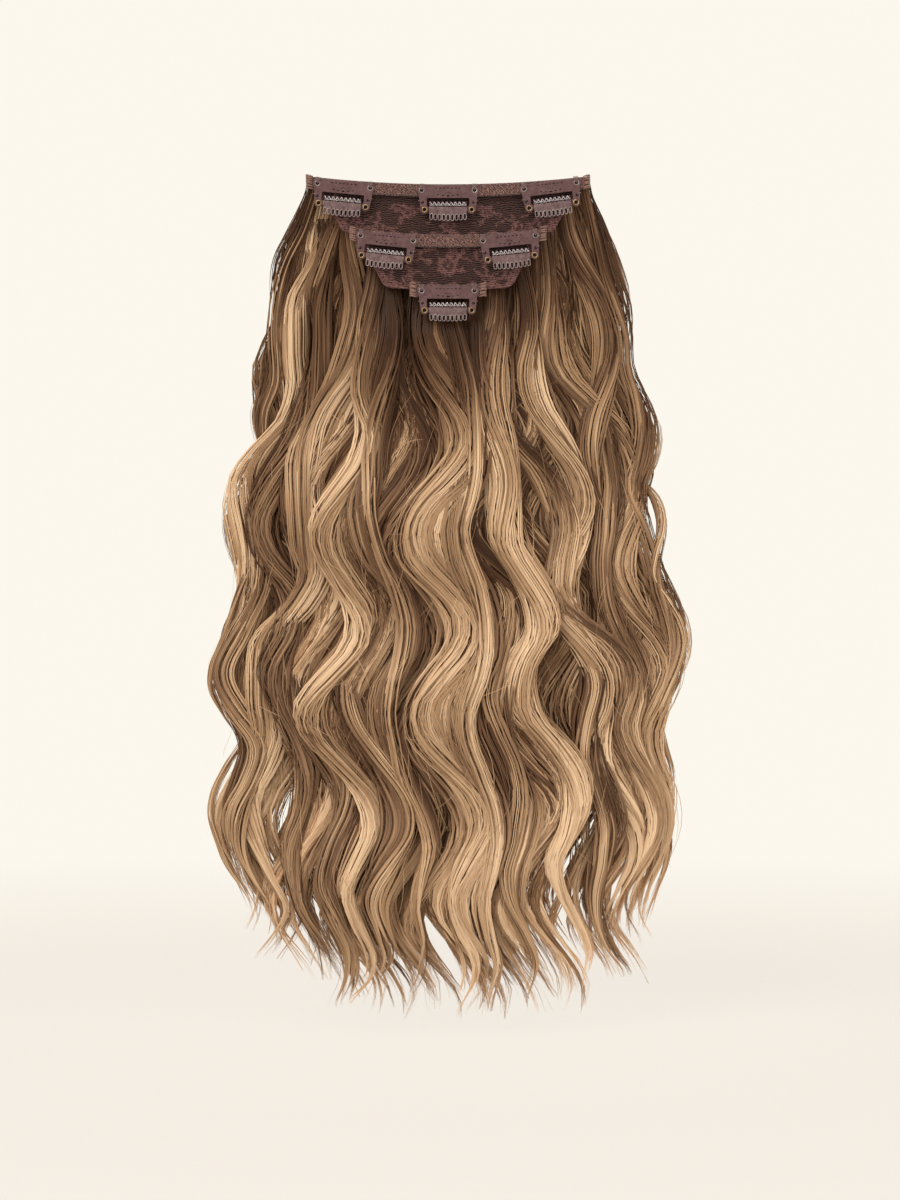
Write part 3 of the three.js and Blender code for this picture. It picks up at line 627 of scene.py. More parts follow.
def clump_lock(x_of, y_of, z_root, z_tip, half_width, half_depth, tone, strands, root_half, clumps=6,
               splay=0.75, width=FACE_STRAND, root_limit=None, root_dark=0.0, tip_light=0.16,
               segments=FACE_SEGMENTS, facing=-0.8, behind=None, ragged=0.0, root_fade=ROOT_FADE):
    """The strands of one lock. x_of and y_of give its middle line at heights z. Its clumps part and taper
    towards its end, and each strand lies on the lock's rounded surface."""
    clump = rng.integers(0, clumps, strands)
    turn = np.linspace(0, 2 * np.pi, clumps, endpoint=False) + rng.uniform(0, 6)
    reach = rng.uniform(0.45, 0.85, clumps)
    clump_tip = rng.uniform(-1, 1, clumps)[clump][:, None]
    clump_tone = rng.normal(0, CLUMP_TONES, clumps)[clump]
    clump_drop = (z_tip + rng.uniform(-4, 20, clumps))[clump]
    phases = rng.uniform(0, 2 * np.pi, clumps)
    phase = phases[clump]
    angle = rng.uniform(0, 2 * np.pi, strands)
    size = np.sqrt(rng.uniform(0.45, 1, strands)) * 0.5

    # how far down each point is: t along its own strand, down along the lock
    t = np.linspace(0, 1, segments + 1)[None, :]
    end = np.maximum(clump_drop + rng.gamma(1.5, 5, strands) - 4, z_tip - 3)[:, None]
    start = z_root - ragged * rng.uniform(0, 1, strands)[:, None]
    z = np.maximum(start + (end - start) * t, FLOOR + TIP_CLEARANCE)
    down = (z_root - z) / (z_root - z_tip)
    grow = smooth(down / 0.22)

    # a and b: where the strand lies across and through the lock, from -1 to 1
    keep = 1 - splay * smooth((down - 0.55) / 0.45)
    fine = 1 - 0.92 * smooth((t - 0.68) / 0.32)
    strays = rng.uniform(0, 1, strands) < STRAY_SHARE
    stray = np.where(strays, rng.normal(0, STRAY_REACH, strands), 0)[:, None]
    twist = 0.9 * np.sin(2 * np.pi * z / WAVE_LENGTH + phases[0])
    a0 = (reach * np.cos(turn))[clump][:, None] * keep + clump_tip * 0.32 * smooth((down - 0.62) / 0.38)
    b0 = (reach * np.sin(turn))[clump][:, None] * keep
    a0, b0 = a0 * np.cos(twist) - b0 * np.sin(twist), a0 * np.sin(twist) + b0 * np.cos(twist)
    a = a0 * (0.7 + 0.3 * grow) + size[:, None] * np.cos(angle)[:, None] * fine
    a = a + stray * smooth((t - 0.12) / 0.8)
    b = b0 + size[:, None] * np.sin(angle)[:, None] * fine
    wobble = 0.05 * np.sin(2 * np.pi * z / 61 + phase[:, None] + rng.normal(0, 0.5, (strands, 1)))
    a = a + wobble * (0.3 + down)
    x = x_of(z) + a * (root_half + (half_width - root_half) * grow)
    if root_limit is not None:
        room = root_limit + 220 * smooth((z_root - z) / 160)
        x = np.clip(x, -room, room)
    y = y_of(z) + b * (ROOT_HALF_DEPTH + (half_depth - ROOT_HALF_DEPTH) * grow)
    if behind is not None:
        limit = surface(x, z) + behind
        y = limit + 1.6 * np.logaddexp(0, (y - limit) / 1.6)
    centre = np.stack([x, y, z], -1)

    # each ribbon faces away from the middle of its lock, and towards the side that is seen
    outward = unit(np.stack([a / max(half_width, 1), b / max(half_depth, 1), 0 * x], -1))
    outward[..., 1] += facing
    outward = unit(outward + rng.normal(0, FACING_SPREAD, (strands, 1, 3)))
    side = unit(np.cross(unit(np.gradient(centre, axis=1)), outward))
    thin = width * rng.uniform(0.6, 1.3, strands)[:, None] * (1 - 0.9 * smooth((t - 0.88) / 0.12))
    thin = thin * np.where(strays, 0.4, 1)[:, None]
    if ragged:
        thin = thin * (0.12 + 0.88 * smooth(t / 0.12))

    # light and dark: by clump and bundle, painted highlight by the lock's lean, lighter tips, darker roots
    bundle = 0.07 * np.sin(2 * angle + phase) + 0.06 * np.sin(5 * angle + 3 * phase)
    shade = tone + clump_tone + bundle + rng.normal(0, STRAND_TONES, strands)
    lean = np.gradient(x_of(z), axis=1) / np.gradient(z, axis=1)
    # painted highlight bands along the lock and where it leans, painted shade towards its sides
    shade = shade[:, None] + 0.05 * np.sin(2 * np.pi * z / 120 + phase[:, None])
    shade = shade + 0.12 * np.clip(lean, -1, 1) + 0.14 * (0.45 - np.abs(a))
    shade = tone + (shade - tone) * (1 - 0.5 * smooth((down - 0.7) / 0.3))
    shade = shade + tip_light * smooth((down - 0.6) / 0.4)
    shade = shade + 0.35 * (shade - 0.5) * (1 - smooth((down - 0.12) / 0.35))
    shade = shade - root_dark * (1 - smooth((z_root - z) / root_fade))
    # darker roots and painted shade under the lowest band
    low_root_shade = smooth((LOW_ROOTS_HALF - np.abs(x)) / 18) * (1 - smooth((LOW_ROOTS_TOP - z) / 38))
    return centre, side, thin, shade - LOW_ROOTS_DARK_AND_SHADE * low_root_shade, down


def tier_lock(tier, place, layer, tone, half_width, strands, **more):
    """One lock of a tier, in its back layer (layer above 0) or its front layer."""
    row, root = lock_row(tier, place)
    row = row + rng.normal(0, 1, len(row)) * LOCK_VARIATION
    z_root = float(band_line(tier, root)) + ROOT_LIFT
    z_tip = -min(row[1], 0.998) * HAIR_DROP
    width = BANDS[tier][0] / len(LOCKS[tier])

    def y_of(z):
        middle, thick = tier_depth(tier, z)
        return middle + layer * (thick / 2 - 3.2) * smooth((z_root - z) / 60)

    return clump_lock(lambda z: lock_x(row, root, z), y_of, z_root, z_tip, half_width, LOCK_HALF_DEPTH, tone,
                      strands, 0.35 * width, root_limit=BANDS[tier][0] / 2 - 1.5, root_dark=COUNTS[tier][2],
                      width=TIER_STRAND, behind=BEHIND_FRONT, tip_light=0.3, **more)


def make_tier_hair(tier):
    count, half_width, _ = COUNTS[tier]
    last = len(LOCKS[tier]) - 1
    for layer, side in ((0.85, "back"), (-0.85, "front")):
        ribbons = Ribbons()
        for i in range(count):
            place = (last + 2 * STRANDS_PAST) * (i + (0.25 if layer > 0 else 0)) / (count - 1) - STRANDS_PAST
            place = min(max(place + rng.normal(0, 0.05), -0.36), last + 0.36)
            outer = smooth((abs(2 * place / last - 1) - 0.75) / 0.25)
            # the front layer is darker than the back: painted shade under the face locks; locks near the
            # tier's sides are lighter
            tone = (0.42 if layer < 0 else 0.54) + rng.normal(0, 0.09) + 0.14 * outer
            wide = half_width * rng.uniform(0.75, 1.2) * (1 - 0.3 * outer)
            ribbons.add(*tier_lock(tier, place, layer, tone, wide, STRANDS[tier][layer < 0],
                                   segments=TIER_SEGMENTS[tier][layer < 0], facing=0.8 * layer))
        ribbons.make(f"{tier}_hair_strands_{side}")


def make_core(tier):
    """The closed inner layer of a tier, a little smaller than its solid."""
    last = len(LOCKS[tier]) - 1
    columns = np.linspace(-CORE_PAST, last + CORE_PAST, CORE_COLUMNS)
    top = ROOT_LIFT - BANDS[tier][2] - CORE_START
    foot = -TIERS[tier][2] * HAIR_DROP
    front, back = [], []
    for z in np.linspace(top, foot, CORE_ROWS + 1):
        middle, thick = tier_depth(tier, z)
        s = (top - z) / (top - foot)
        taper = 1 - 0.75 * smooth((s - 0.8) / 0.2)
        for place in columns:
            row, root = lock_row(tier, place)
            x = lock_x(row, root, z)
            ridge = math.cos(2 * math.pi * place * CORE_RIDGES)
            half = thick * (CORE_SHARE + CORE_RIDGE * ridge) * taper
            deeper = CORE_DEPTH * (1 + 0.9 * smooth((s - 0.55) / 0.25))
            place_y = max(middle, surface(x, z) + half + deeper * min(1, thick / 9))
            if tier == "top":
                # the back of the top tier is seen, so its core stays under the strands there
                place_y = min(place_y, middle + 0.12 * thick)
            lift = (1 - smooth(s / 0.33)) * (float(band_line(tier, root)) + BANDS[tier][2])
            ragged = CORE_RAGGED * smooth((s - 0.75) / 0.25) * (0.5 + 0.5 * math.sin(place * 9.0))
            front.append((x, place_y - half, z + lift + ragged))
            back.append((x, place_y + half, z + lift + ragged))
    faces = sheet_faces(CORE_ROWS, CORE_COLUMNS - 1)
    core = mesh_object(f"{tier}_hair_core", np.array(front + back), faces, CORE)
    dress(core, "base", f"{tier}_hair")


# Locks that show in front, each along its middle line in photo pixels, across and down.
# Columns: tone, half width in mm, points.
FACE_LOCKS = [
    (0.55, 4.5, [(312, 188), (297, 225), (284, 255), (277, 300), (273, 340), (268, 380), (257, 410),
        (258, 435), (268, 462), (285, 490)]),
    (0.72, 7, [(332, 215), (318, 262), (301, 292), (293, 322), (291, 352), (297, 388), (289, 417),
        (263, 445), (245, 470), (237, 500), (239, 532), (247, 565), (250, 600), (240, 632), (226, 662),
        (229, 695), (245, 725), (249, 750), (229, 785), (215, 815), (218, 850), (238, 888)]),
    (0.76, 6.5, [(350, 238), (352, 290), (349, 330), (345, 372), (328, 402), (311, 432), (297, 465),
        (293, 500), (304, 545), (314, 575), (296, 608), (267, 636), (253, 668), (253, 700), (266, 738),
        (262, 768), (247, 800), (250, 840), (268, 880), (285, 915), (272, 940), (255, 962)]),
    (0.84, 7.5, [(376, 262), (370, 310), (372, 350), (370, 395), (373, 425), (358, 460), (338, 490),
        (326, 520), (331, 550), (348, 580), (361, 612), (352, 645), (330, 672), (311, 705), (318, 735),
        (345, 765), (368, 795), (372, 825), (357, 860), (347, 890), (360, 925), (374, 960), (366, 985),
        (348, 1000)]),
    (0.62, 5.5, [(392, 268), (392, 320), (385, 370), (380, 420), (372, 470), (362, 515), (374, 556),
        (399, 590), (412, 625), (405, 655), (388, 685), (381, 715), (392, 750), (408, 785), (425, 815),
        (431, 845), (420, 880), (415, 910), (425, 945), (421, 975), (406, 1000)]),
    (0.86, 9, [(424, 294), (426, 335), (444, 385), (458, 420), (462, 450), (450, 480), (432, 505),
        (421, 535), (425, 565), (442, 590), (458, 615), (461, 645), (446, 675), (431, 705), (433, 735),
        (450, 765), (470, 795), (481, 830), (470, 865), (458, 895), (463, 930), (475, 960), (470, 990),
        (455, 1012)]),
    (0.7, 6.5, [(446, 296), (456, 350), (470, 395), (479, 430), (476, 465), (462, 500), (452, 530),
        (460, 560), (478, 590), (490, 620), (488, 650), (473, 680), (459, 710), (463, 745), (480, 775),
        (496, 805), (500, 835), (490, 870), (481, 900), (488, 935), (498, 965), (488, 1005)]),
    (0.74, 6.5, [(474, 296), (483, 335), (488, 375), (495, 410), (512, 442), (537, 468), (558, 500),
        (569, 530), (563, 565), (557, 595), (572, 618), (602, 640), (624, 665), (632, 695), (629, 730),
        (640, 760), (655, 790), (660, 820), (651, 860), (638, 890), (636, 915), (652, 945)]),
    (0.86, 7.5, [(492, 268), (495, 330), (497, 380), (498, 440), (501, 480), (503, 510), (512, 545),
        (531, 575), (544, 605), (539, 635), (521, 660), (517, 690), (529, 718), (553, 740), (575, 768),
        (579, 800), (566, 832), (552, 862), (561, 895), (579, 925), (590, 950), (582, 985)]),
    (0.78, 7, [(545, 240), (547, 300), (550, 340), (562, 372), (585, 398), (611, 425), (627, 460),
        (631, 500), (622, 540), (619, 575), (632, 610), (654, 640), (667, 670), (660, 700), (651, 730),
        (655, 760), (668, 790), (671, 820), (662, 860), (650, 890), (641, 930)]),
    (0.6, 5.5, [(583, 190), (597, 225), (607, 255), (616, 290), (620, 330), (622, 365), (637, 395),
        (648, 425), (646, 455), (634, 485), (639, 520), (649, 555), (661, 585), (676, 615), (681, 645),
        (674, 680), (661, 715), (656, 745), (665, 775), (673, 805)]),
    (0.62, 5.5, [(566, 205), (580, 255), (598, 300), (606, 345), (604, 385), (596, 420), (588, 455),
        (592, 490), (604, 520), (603, 556), (596, 590)]),
    (0.68, 6, [(522, 262), (528, 330), (530, 370), (540, 405), (560, 440), (577, 475), (582, 510),
        (573, 545), (561, 580), (566, 615), (584, 645), (599, 675), (602, 710), (597, 740), (604, 770),
        (624, 800), (639, 830), (636, 865), (622, 895), (613, 930), (620, 958)]),
    (0.52, 6, [(560, 330), (590, 400), (609, 440), (618, 480), (608, 525), (599, 560), (606, 600),
        (622, 630), (639, 660), (644, 700), (634, 740), (640, 780), (650, 812)]),
    (0.46, 6.5, [(326, 240), (318, 300), (322, 340), (316, 380), (295, 430), (269, 480), (258, 520),
        (268, 560), (288, 590), (285, 630), (273, 665), (280, 700), (297, 735), (304, 770), (298, 810),
        (286, 850), (292, 885), (300, 915), (315, 945), (322, 978)]),
    (0.56, 6, [(262, 560), (244, 600), (233, 640), (224, 675), (236, 710), (252, 745), (243, 780),
        (232, 812), (235, 848), (248, 880), (262, 908)]),
    (0.62, 6.5, [(300, 640), (298, 690), (308, 725), (325, 755), (343, 785), (347, 815), (337, 850),
        (328, 885), (335, 920), (349, 955), (350, 985), (342, 1005)]),
    (0.54, 6.5, [(336, 640), (346, 690), (362, 725), (381, 755), (396, 790), (399, 830), (386, 865),
        (376, 900), (385, 935), (391, 960), (378, 985)]),
    (0.56, 6.5, [(466, 520), (478, 560), (500, 590), (511, 625), (507, 665), (495, 700), (496, 735),
        (510, 770), (524, 805), (524, 840), (512, 875), (512, 905), (525, 935), (534, 965), (524, 998)]),
    (0.66, 2, [(598, 430), (618, 455), (637, 473), (654, 489), (663, 508), (665, 527), (660, 553),
        (658, 575), (670, 597), (682, 622), (685, 640), (679, 665), (669, 690), (662, 715), (668, 745),
        (677, 775), (679, 800)]),
    (0.62, 1.6, [(250, 715), (238, 745), (222, 772), (211, 795), (208, 815), (214, 842), (225, 870),
        (237, 889), (248, 905)]),
    (0.6, 1.5, [(256, 540), (246, 565), (236, 590), (229, 612), (220, 640), (209, 668), (208, 690),
        (219, 716), (232, 738)]),
    (0.5, 6, [(572, 600), (588, 640), (592, 680), (584, 720), (590, 755), (604, 790), (611, 825),
        (601, 860), (593, 895), (600, 930), (614, 955), (630, 975)]),
]


def spline(points, at):
    """A smooth curve x(z) through points with falling z, at heights z."""
    points = np.array(points, dtype=float)
    z, x = points[:, 1][::-1], points[:, 0][::-1]
    slope = np.gradient(x, z)
    at = np.clip(at, z[0], z[-1])
    k = np.clip(np.searchsorted(z, at) - 1, 0, len(z) - 2)
    h = z[k + 1] - z[k]
    u = (at - z[k]) / h
    return ((2 * u ** 3 - 3 * u ** 2 + 1) * x[k] + (u ** 3 - 2 * u ** 2 + u) * h * slope[k]
            + (3 * u ** 2 - 2 * u ** 3) * x[k + 1] + (u ** 3 - u ** 2) * h * slope[k + 1])


def edges_of(tier, z):
    """The left and right sides of a tier at heights z."""
    last = len(LOCKS[tier]) - 1
    return [lock_x(*lock_row(tier, place), z) for place in (-CORE_PAST, last + CORE_PAST)]


def surface(x, z):
    """How far back the front of the hair lies at a point: on the foremost tier that reaches it."""
    middle, thick = tier_depth("top", z)
    level = middle - thick / 2
    for tier in ("middle", "bottom"):
        middle, thick = tier_depth(tier, z)
        left, right = edges_of(tier, z)
        inside = smooth((x - left + 26) / 52) * smooth((right + 26 - x) / 52)
        inside = inside * smooth((-z - BANDS[tier][2]) / 25)
        level = level + (middle - thick / 2 - level) * inside
    return level


def make_face_hair(name, rows):
    """The locks that show in front, each on the hair that it lies over."""
    ribbons = Ribbons()
    for number, (tone, half_width, points) in enumerate(rows):
        path = [((px - ORIGIN_ACROSS) * PHOTO_SCALE, (ORIGIN_DOWN - py) * PHOTO_SCALE) for px, py in points]
        (x0, z0), (x1, z1) = path[:2]
        starts_inside, ends_inside = z0 < INSIDE_START, path[-1][1] > INSIDE_END
        if not starts_inside:
            # the lock goes on up to the band, under the clips and the lace
            room = float(band_line("top", x0)) + ROOT_LIFT - z0
            lift = min(SIDE_LIFT if z0 > SIDE_ROOTS else MIDDLE_LIFT, room)
            if lift > 1:
                path.insert(0, (x0 + 0.5 * lift * (x0 - x1) / (z0 - z1), z0 + lift))
        proud = 0.8 + 1.5 * (number % 3 - 1) * rng.uniform(0.6, 1)
        top, foot = path[0][1], path[-1][1]
        low = smooth((-10 - top) / 24)

        def x_of(z):
            return spline(path, z)

        def y_of(z):
            slope = (x_of(z + 2) - x_of(z - 2)) / 4
            down = (top - z) / (top - foot)
            free = smooth(down / 0.25)
            sunk = INSIDE_DEPTH * smooth((down - 0.72) / 0.28) if ends_inside else 0
            if starts_inside:
                sunk = sunk + INSIDE_DEPTH * (1 - free)
            return surface(x_of(z), z) + 0.8 - free * (proud + 1.6 * np.clip(slope / 0.7, -1, 1)) + sunk

        wide = 1.25 * half_width
        strands = int(FACE_STRANDS * half_width / FACE_WIDTH)
        roots = {"root_dark": 0.3 + 0.42 * low, "root_fade": ROOT_FADE + 50 * low, "root_half": 0.7 * wide}
        if starts_inside:
            roots.update(root_dark=0.0, root_half=0.3 * wide, ragged=RAGGED_START)
        ribbons.add(*clump_lock(x_of, y_of, top, foot, wide, FACE_HALF_DEPTH, tone - 0.06, strands, clumps=7,
                                splay=0.62, **roots))
    ribbons.make(name)


for tier in BANDS:
    make_core(tier)
    make_tier_hair(tier)
for part, name in enumerate(("left", "middle", "right")):
    make_face_hair(f"front_hair_strands_{name}", FACE_LOCKS[part::3])


def make_flyaways():
    """Short loose hairs that stand off the front and bow back into it at both ends."""
    count = FLYAWAYS
    t = np.linspace(0, 1, FLYAWAY_POINTS)[None, :]
    z0 = -rng.uniform(FLYAWAY_TOP, FLYAWAY_FOOT, count)[:, None]
    left, right = edges_of("top", z0)
    x0 = left + (right - left) * rng.uniform(-0.02, 1.02, (count, 1))
    length = rng.uniform(14, 46, count)[:, None]
    heading = rng.normal(0, 0.55, (count, 1)) + rng.normal(0, 0.8, (count, 1)) * (t - 0.5)
    step = length / (FLYAWAY_POINTS - 1)
    sideways = np.cumsum(np.sin(heading) * step, axis=1)
    room = np.where(sideways > 0, right + FLYAWAY_REACH - x0, x0 - left + FLYAWAY_REACH)
    room = np.maximum(room, FLYAWAY_REACH)
    x = x0 + room * np.tanh(sideways / room)
    z = np.maximum(z0 - np.cumsum(np.cos(heading) * step, axis=1), FLOOR + 8)
    bow = np.sin(np.pi * t)
    y = surface(x, z) - 2.2 - rng.uniform(0.5, 3.5, (count, 1)) * bow + 2.5 * (1 - bow)
    centre = np.stack([x, y, z], -1)
    side = unit(np.cross(np.gradient(centre, axis=1), [0, -1, 0]))
    width = rng.uniform(0.12, 0.24, (count, 1)) * (1 - 0.7 * np.abs(2 * t - 1) ** 3)
    shade = rng.uniform(0.5, 0.85, (count, 1)) + 0 * t
    ribbons = Ribbons()
    ribbons.add(centre, side, width, shade, 0.6 + 0 * x)
    ribbons.make("flyaway_strands")


make_flyaways()

# Bands
BAND_COLUMNS, BAND_SIDES, BAND_SQUARENESS = 96, 32, 0.28
END_STITCHES, END_STITCH_PITCH = 7, 1.05
SEAM_PITCH, SEAM_EDGES = 2.3, ((1, 0.55), (-1, 0.6))


def make_band(tier):
    """A woven band with squarish rounded section, its end stitches and its two seams."""
    width = BANDS[tier][0]
    x = np.linspace(-width / 2, width / 2, BAND_COLUMNS)
    turn = np.linspace(0, 2 * np.pi, BAND_SIDES + 1)[:-1]
    y = BAND_THICKNESS / 2 * np.sign(np.cos(turn)) * np.abs(np.cos(turn)) ** BAND_SQUARENESS
    z = BAND_HEIGHT / 2 * np.sign(np.sin(turn)) * np.abs(np.sin(turn)) ** BAND_SQUARENESS
    ends = 1 - 0.25 * np.exp(-(width / 2 - np.abs(x)) / 0.5)
    centre = np.stack([x, BAND_THICKNESS / 2 + 0 * x, band_line(tier, x)], -1)
    ring = np.stack([0 * y, y, z], -1)
    vertices = (centre[:, None] + ring[None] * ends[:, None, None]).reshape(-1, 3)
    faces = [ring_faces(BAND_COLUMNS, BAND_SIDES), cap_faces(BAND_COLUMNS, BAND_SIDES)]
    band = mesh_object(f"{tier}_band_tape", np.concatenate([vertices, centre[[0, -1]]]), faces, TAPE)
    dress(band, "base", f"{tier}_band")

    stitches = Shapes()
    for side in (-1, 1):
        e, s = side * width / 2, side
        for k in range(END_STITCHES):
            z = band_line(tier, width / 2) + BAND_HEIGHT / 2 + 0.25 - END_STITCH_PITCH * k
            lean, bulk = rng.uniform(-0.35, 0.35), rng.uniform(0.8, 1.3)
            path = [(e - s * 2.9, -0.1, z - 0.5), (e - s * 1.8, -0.45, z - 0.2 + lean),
                    (e - s * 0.5, -0.5, z + 0.1 + lean), (e + s * 0.4, 0.4, z + 0.2),
                    (e + s * 0.45, 1.9, z + 0.2), (e - s * 0.3, 3.0, z + 0.3), (e - s * 2, 3.1, z + 0.4)]
            stitches.add(*tube(path, np.array([0.2, 0.38, 0.46, 0.46, 0.42, 0.36, 0.2]) * bulk, 7))
    if tier == "middle":
        # a few threads over the middle of the band, as in the photo
        for x0 in (-0.5, 0, 0.5):
            path = [(x0, 0.1, -24.2), (x0 + 0.1, -0.3, -25), (x0, -0.35, -26.2), (x0 + 0.1, -0.2, -27.2),
                    (x0, 0.1, -27.8)]
            stitches.add(*tube(path, 0.24, 6))
    stitches.make(f"{tier}_band_end_stitches", COPPER, "base", "band")

    line = Shapes()
    steps = int(width / SEAM_PITCH)
    for i in range(steps):
        x0 = -width / 2 + width * (i + 0.22) / steps
        x1 = -width / 2 + width * (i + 0.8) / steps
        for edge, drop in SEAM_EDGES:
            z0, z1 = (band_line(tier, v) + edge * (BAND_HEIGHT / 2 - drop) for v in (x0, x1))
            path = [(x0, 0.12, z0), (x0 * 0.7 + x1 * 0.3, -0.1, z0 * 0.7 + z1 * 0.3),
                    (x0 * 0.3 + x1 * 0.7, -0.1, z0 * 0.3 + z1 * 0.7), (x1, 0.12, z1)]
            line.add(*tube(path, 0.16, 5))
    line.make(f"{tier}_band_seam", MAUVE, "base", "band")


for tier in BANDS:
    make_band(tier)


# Lace
UPPER_LACE_FOOT_WIDTH, LOWER_LACE_FOOT_WIDTH = 114, 71
LACE_INSET, LACE_CORNER, LACE_TUCK = 3.5, 7, 2.4
LACE_CORNER_START, LACE_CORNER_END = -14, -68
LACE_HEIGHT, LACE_STEP = 28, 0.62
# the ornament's flowers: across as a share of the half width, up as a share of the height, the radius in mm,
# and for the middle one its petals
PAIRED_FLOWERS = {"upper_lace": ((0.72, 0.36, 5.4), (0.52, 0.2, 4.0), (0.29, 0.55, 3.9), (0.88, 0.6, 4.4)),
                  "lower_lace": ((0.7, 0.32, 5.2), (0.36, 0.72, 4.0), (0.45, 0.2, 3.6))}
MIDDLE_FLOWER = {"upper_lace": (0, 0.25, 4.4, 6), "lower_lace": (0, 0.5, 6.2, 6)}
FLOWER_LEAVES, SEEDS = 4, {"upper_lace": 7, "lower_lace": 12}


def leaf(x, z, cx, cz, length, wide, turn):
    """How far a leaf with a vein covers each point. It starts at (cx, cz)."""
    c, s = math.cos(turn), math.sin(turn)
    u = ((x - cx) * c + (z - cz) * s) / length
    w = -(x - cx) * s + (z - cz) * c
    body = wide * np.sqrt(np.clip(1 - (2 * u - 1) ** 2, 0, 1)) * (1 - 0.35 * u)
    inside = smooth((body - np.abs(w)) / 0.35) * (u > 0) * (u < 1)
    vein = 1 - 0.75 * smooth((0.35 - np.abs(w)) / 0.25) * (u < 0.85) * (u > 0.1)
    return inside * vein


def flower(x, z, cx, cz, radius, petals, turn):
    """How far a flower covers each point."""
    r = np.hypot(x - cx, z - cz)
    a = np.arctan2(z - cz, x - cx) - turn
    edge = radius * (0.7 + 0.3 * np.abs(np.cos(petals * a / 2)) ** 0.7)
    inside = smooth((edge - r) / 0.5)
    ring = 1 - 0.85 * smooth((0.22 - np.abs(r / radius - 0.3)) / 0.12) * (r > 0.2)
    slit = 1 - 0.8 * smooth((0.3 - np.abs(np.sin(petals * a / 2)) * r * 0.5) / 0.2) * (r > 0.42 * radius)
    return inside * ring * slit


def stem(x, z, points, wide):
    """How far a stem along points covers each point."""
    best = np.full(x.shape, 1e9)
    points = np.asarray(points, dtype=float)
    for (x0, z0), (x1, z1) in zip(points, points[1:]):
        length = max((x1 - x0) ** 2 + (z1 - z0) ** 2, 1e-9)
        u = np.clip(((x - x0) * (x1 - x0) + (z - z0) * (z1 - z0)) / length, 0, 1)
        best = np.minimum(best, np.hypot(x - x0 - u * (x1 - x0), z - z0 - u * (z1 - z0)))
    return smooth((wide - best) / 0.3)


def lace_motif(name, x, z, top, foot, half):
    """How far the floral ornament covers the net at each point, from 0 to 1."""
    chance = np.random.default_rng(SEEDS[name])
    wob_x = x + 0.5 * np.sin(z * 1.9 + x * 0.35) + 0.3 * np.sin(z * 3.7 - x)
    wob_z = z + 0.45 * np.sin(x * 1.3 + z * 0.6) + 0.25 * np.sin(x * 3.1)
    height = top - foot
    motif = smooth((3.3 + 1.1 * np.sin(x * 0.62) - (z - foot)) / 0.6)
    near_side = half - np.abs(x)
    motif = np.maximum(motif, smooth((4.0 + 1.2 * np.sin(z * 1.1) - near_side) / 0.6))
    flowers = [(side * across, up, radius, 5) for side in (-1, 1)
               for across, up, radius in PAIRED_FLOWERS[name]]
    flowers.insert(0 if name == "lower_lace" else len(flowers), MIDDLE_FLOWER[name])
    for across, up, radius, petals in flowers:
        cx = across * float(np.max(half))
        cz = float(np.median(foot)) + up * float(np.median(height))
        motif = np.maximum(motif, flower(wob_x, wob_z, cx, cz, radius, petals, chance.uniform(0, 6)))
        for _ in range(FLOWER_LEAVES):
            turn = chance.uniform(0, 6.28)
            leaf_x, leaf_z = cx + 0.9 * radius * math.cos(turn), cz + 0.9 * radius * math.sin(turn)
            length = chance.uniform(4, 7)
            motif = np.maximum(motif, leaf(wob_x, wob_z, leaf_x, leaf_z, length, 1.5, turn))
        reach = chance.uniform(8, 13) * chance.choice([-1, 1])
        points = [(cx + reach * u, cz + 3.2 * math.sin(3.3 * u) + 2 * u) for u in np.linspace(0, 1, 9)]
        motif = np.maximum(motif, stem(wob_x, wob_z, points, 0.55))
    slits = smooth((np.sin(x * 1.7 + 1.3 * np.sin(z * 0.9)) * np.sin(z * 1.5 + x * 0.3) - 0.62) / 0.2)
    return np.clip(motif * (1 - 0.9 * slits), 0, 1)


def make_lace(name, upper, lower, foot_width):
    """A closed panel that hangs between two bands, with the ornament in relief."""
    top_half = BANDS[upper][0] / 2 - LACE_INSET
    flat = foot_width / 2 - LACE_CORNER

    def top_line(x):
        return band_line(upper, x) - BAND_HEIGHT / 2 + LACE_TUCK

    def foot_line(x):
        return band_line(lower, x) + BAND_HEIGHT / 2 - LACE_TUCK

    turn = np.radians(np.linspace(LACE_CORNER_START, LACE_CORNER_END, 7))
    cx = flat + LACE_CORNER * np.cos(turn)
    cz = foot_line(flat) + LACE_CORNER * (1 + np.sin(turn))
    cv = (top_line(cx) - cz) / (top_line(cx) - foot_line(cx))
    rows = int(LACE_HEIGHT / LACE_STEP)
    columns = int(2 * top_half / LACE_STEP)
    v = np.linspace(0, 1, rows + 1)
    half = np.interp(v, [0, *cv, 1], [top_half, *cx, flat])
    s = np.linspace(-1, 1, columns + 1)
    x = half[:, None] * s[None]
    top, foot = top_line(x), foot_line(x)
    z = top + (foot - top) * v[:, None]
    motif = lace_motif(name, x, z, top, foot, half[:, None] + 0 * x)
    y = LACE_FRONT + 0.25 - 0.4 * motif + 0.06 * np.sin(x * 5.2) * np.sin(z * 5.2)
    grid = np.stack([x, y, z], -1).reshape(-1, 3)
    rear = grid.copy()
    rear[:, 1] = LACE_FRONT + LACE_THICKNESS
    panel = mesh_object(f"{name}_net", np.concatenate([grid, rear]), sheet_faces(rows, columns), LACE)
    attribute(panel, "motif", np.concatenate([motif.ravel(), motif.ravel()]))
    dress(panel, "base", name)


make_lace("upper_lace", "top", "middle", UPPER_LACE_FOOT_WIDTH)
make_lace("lower_lace", "middle", "bottom", LOWER_LACE_FOOT_WIDTH)

# Clips
CLIP_HALF, EAR_RADIUS, EAR_HOLE = 16, 2.4, 0.8
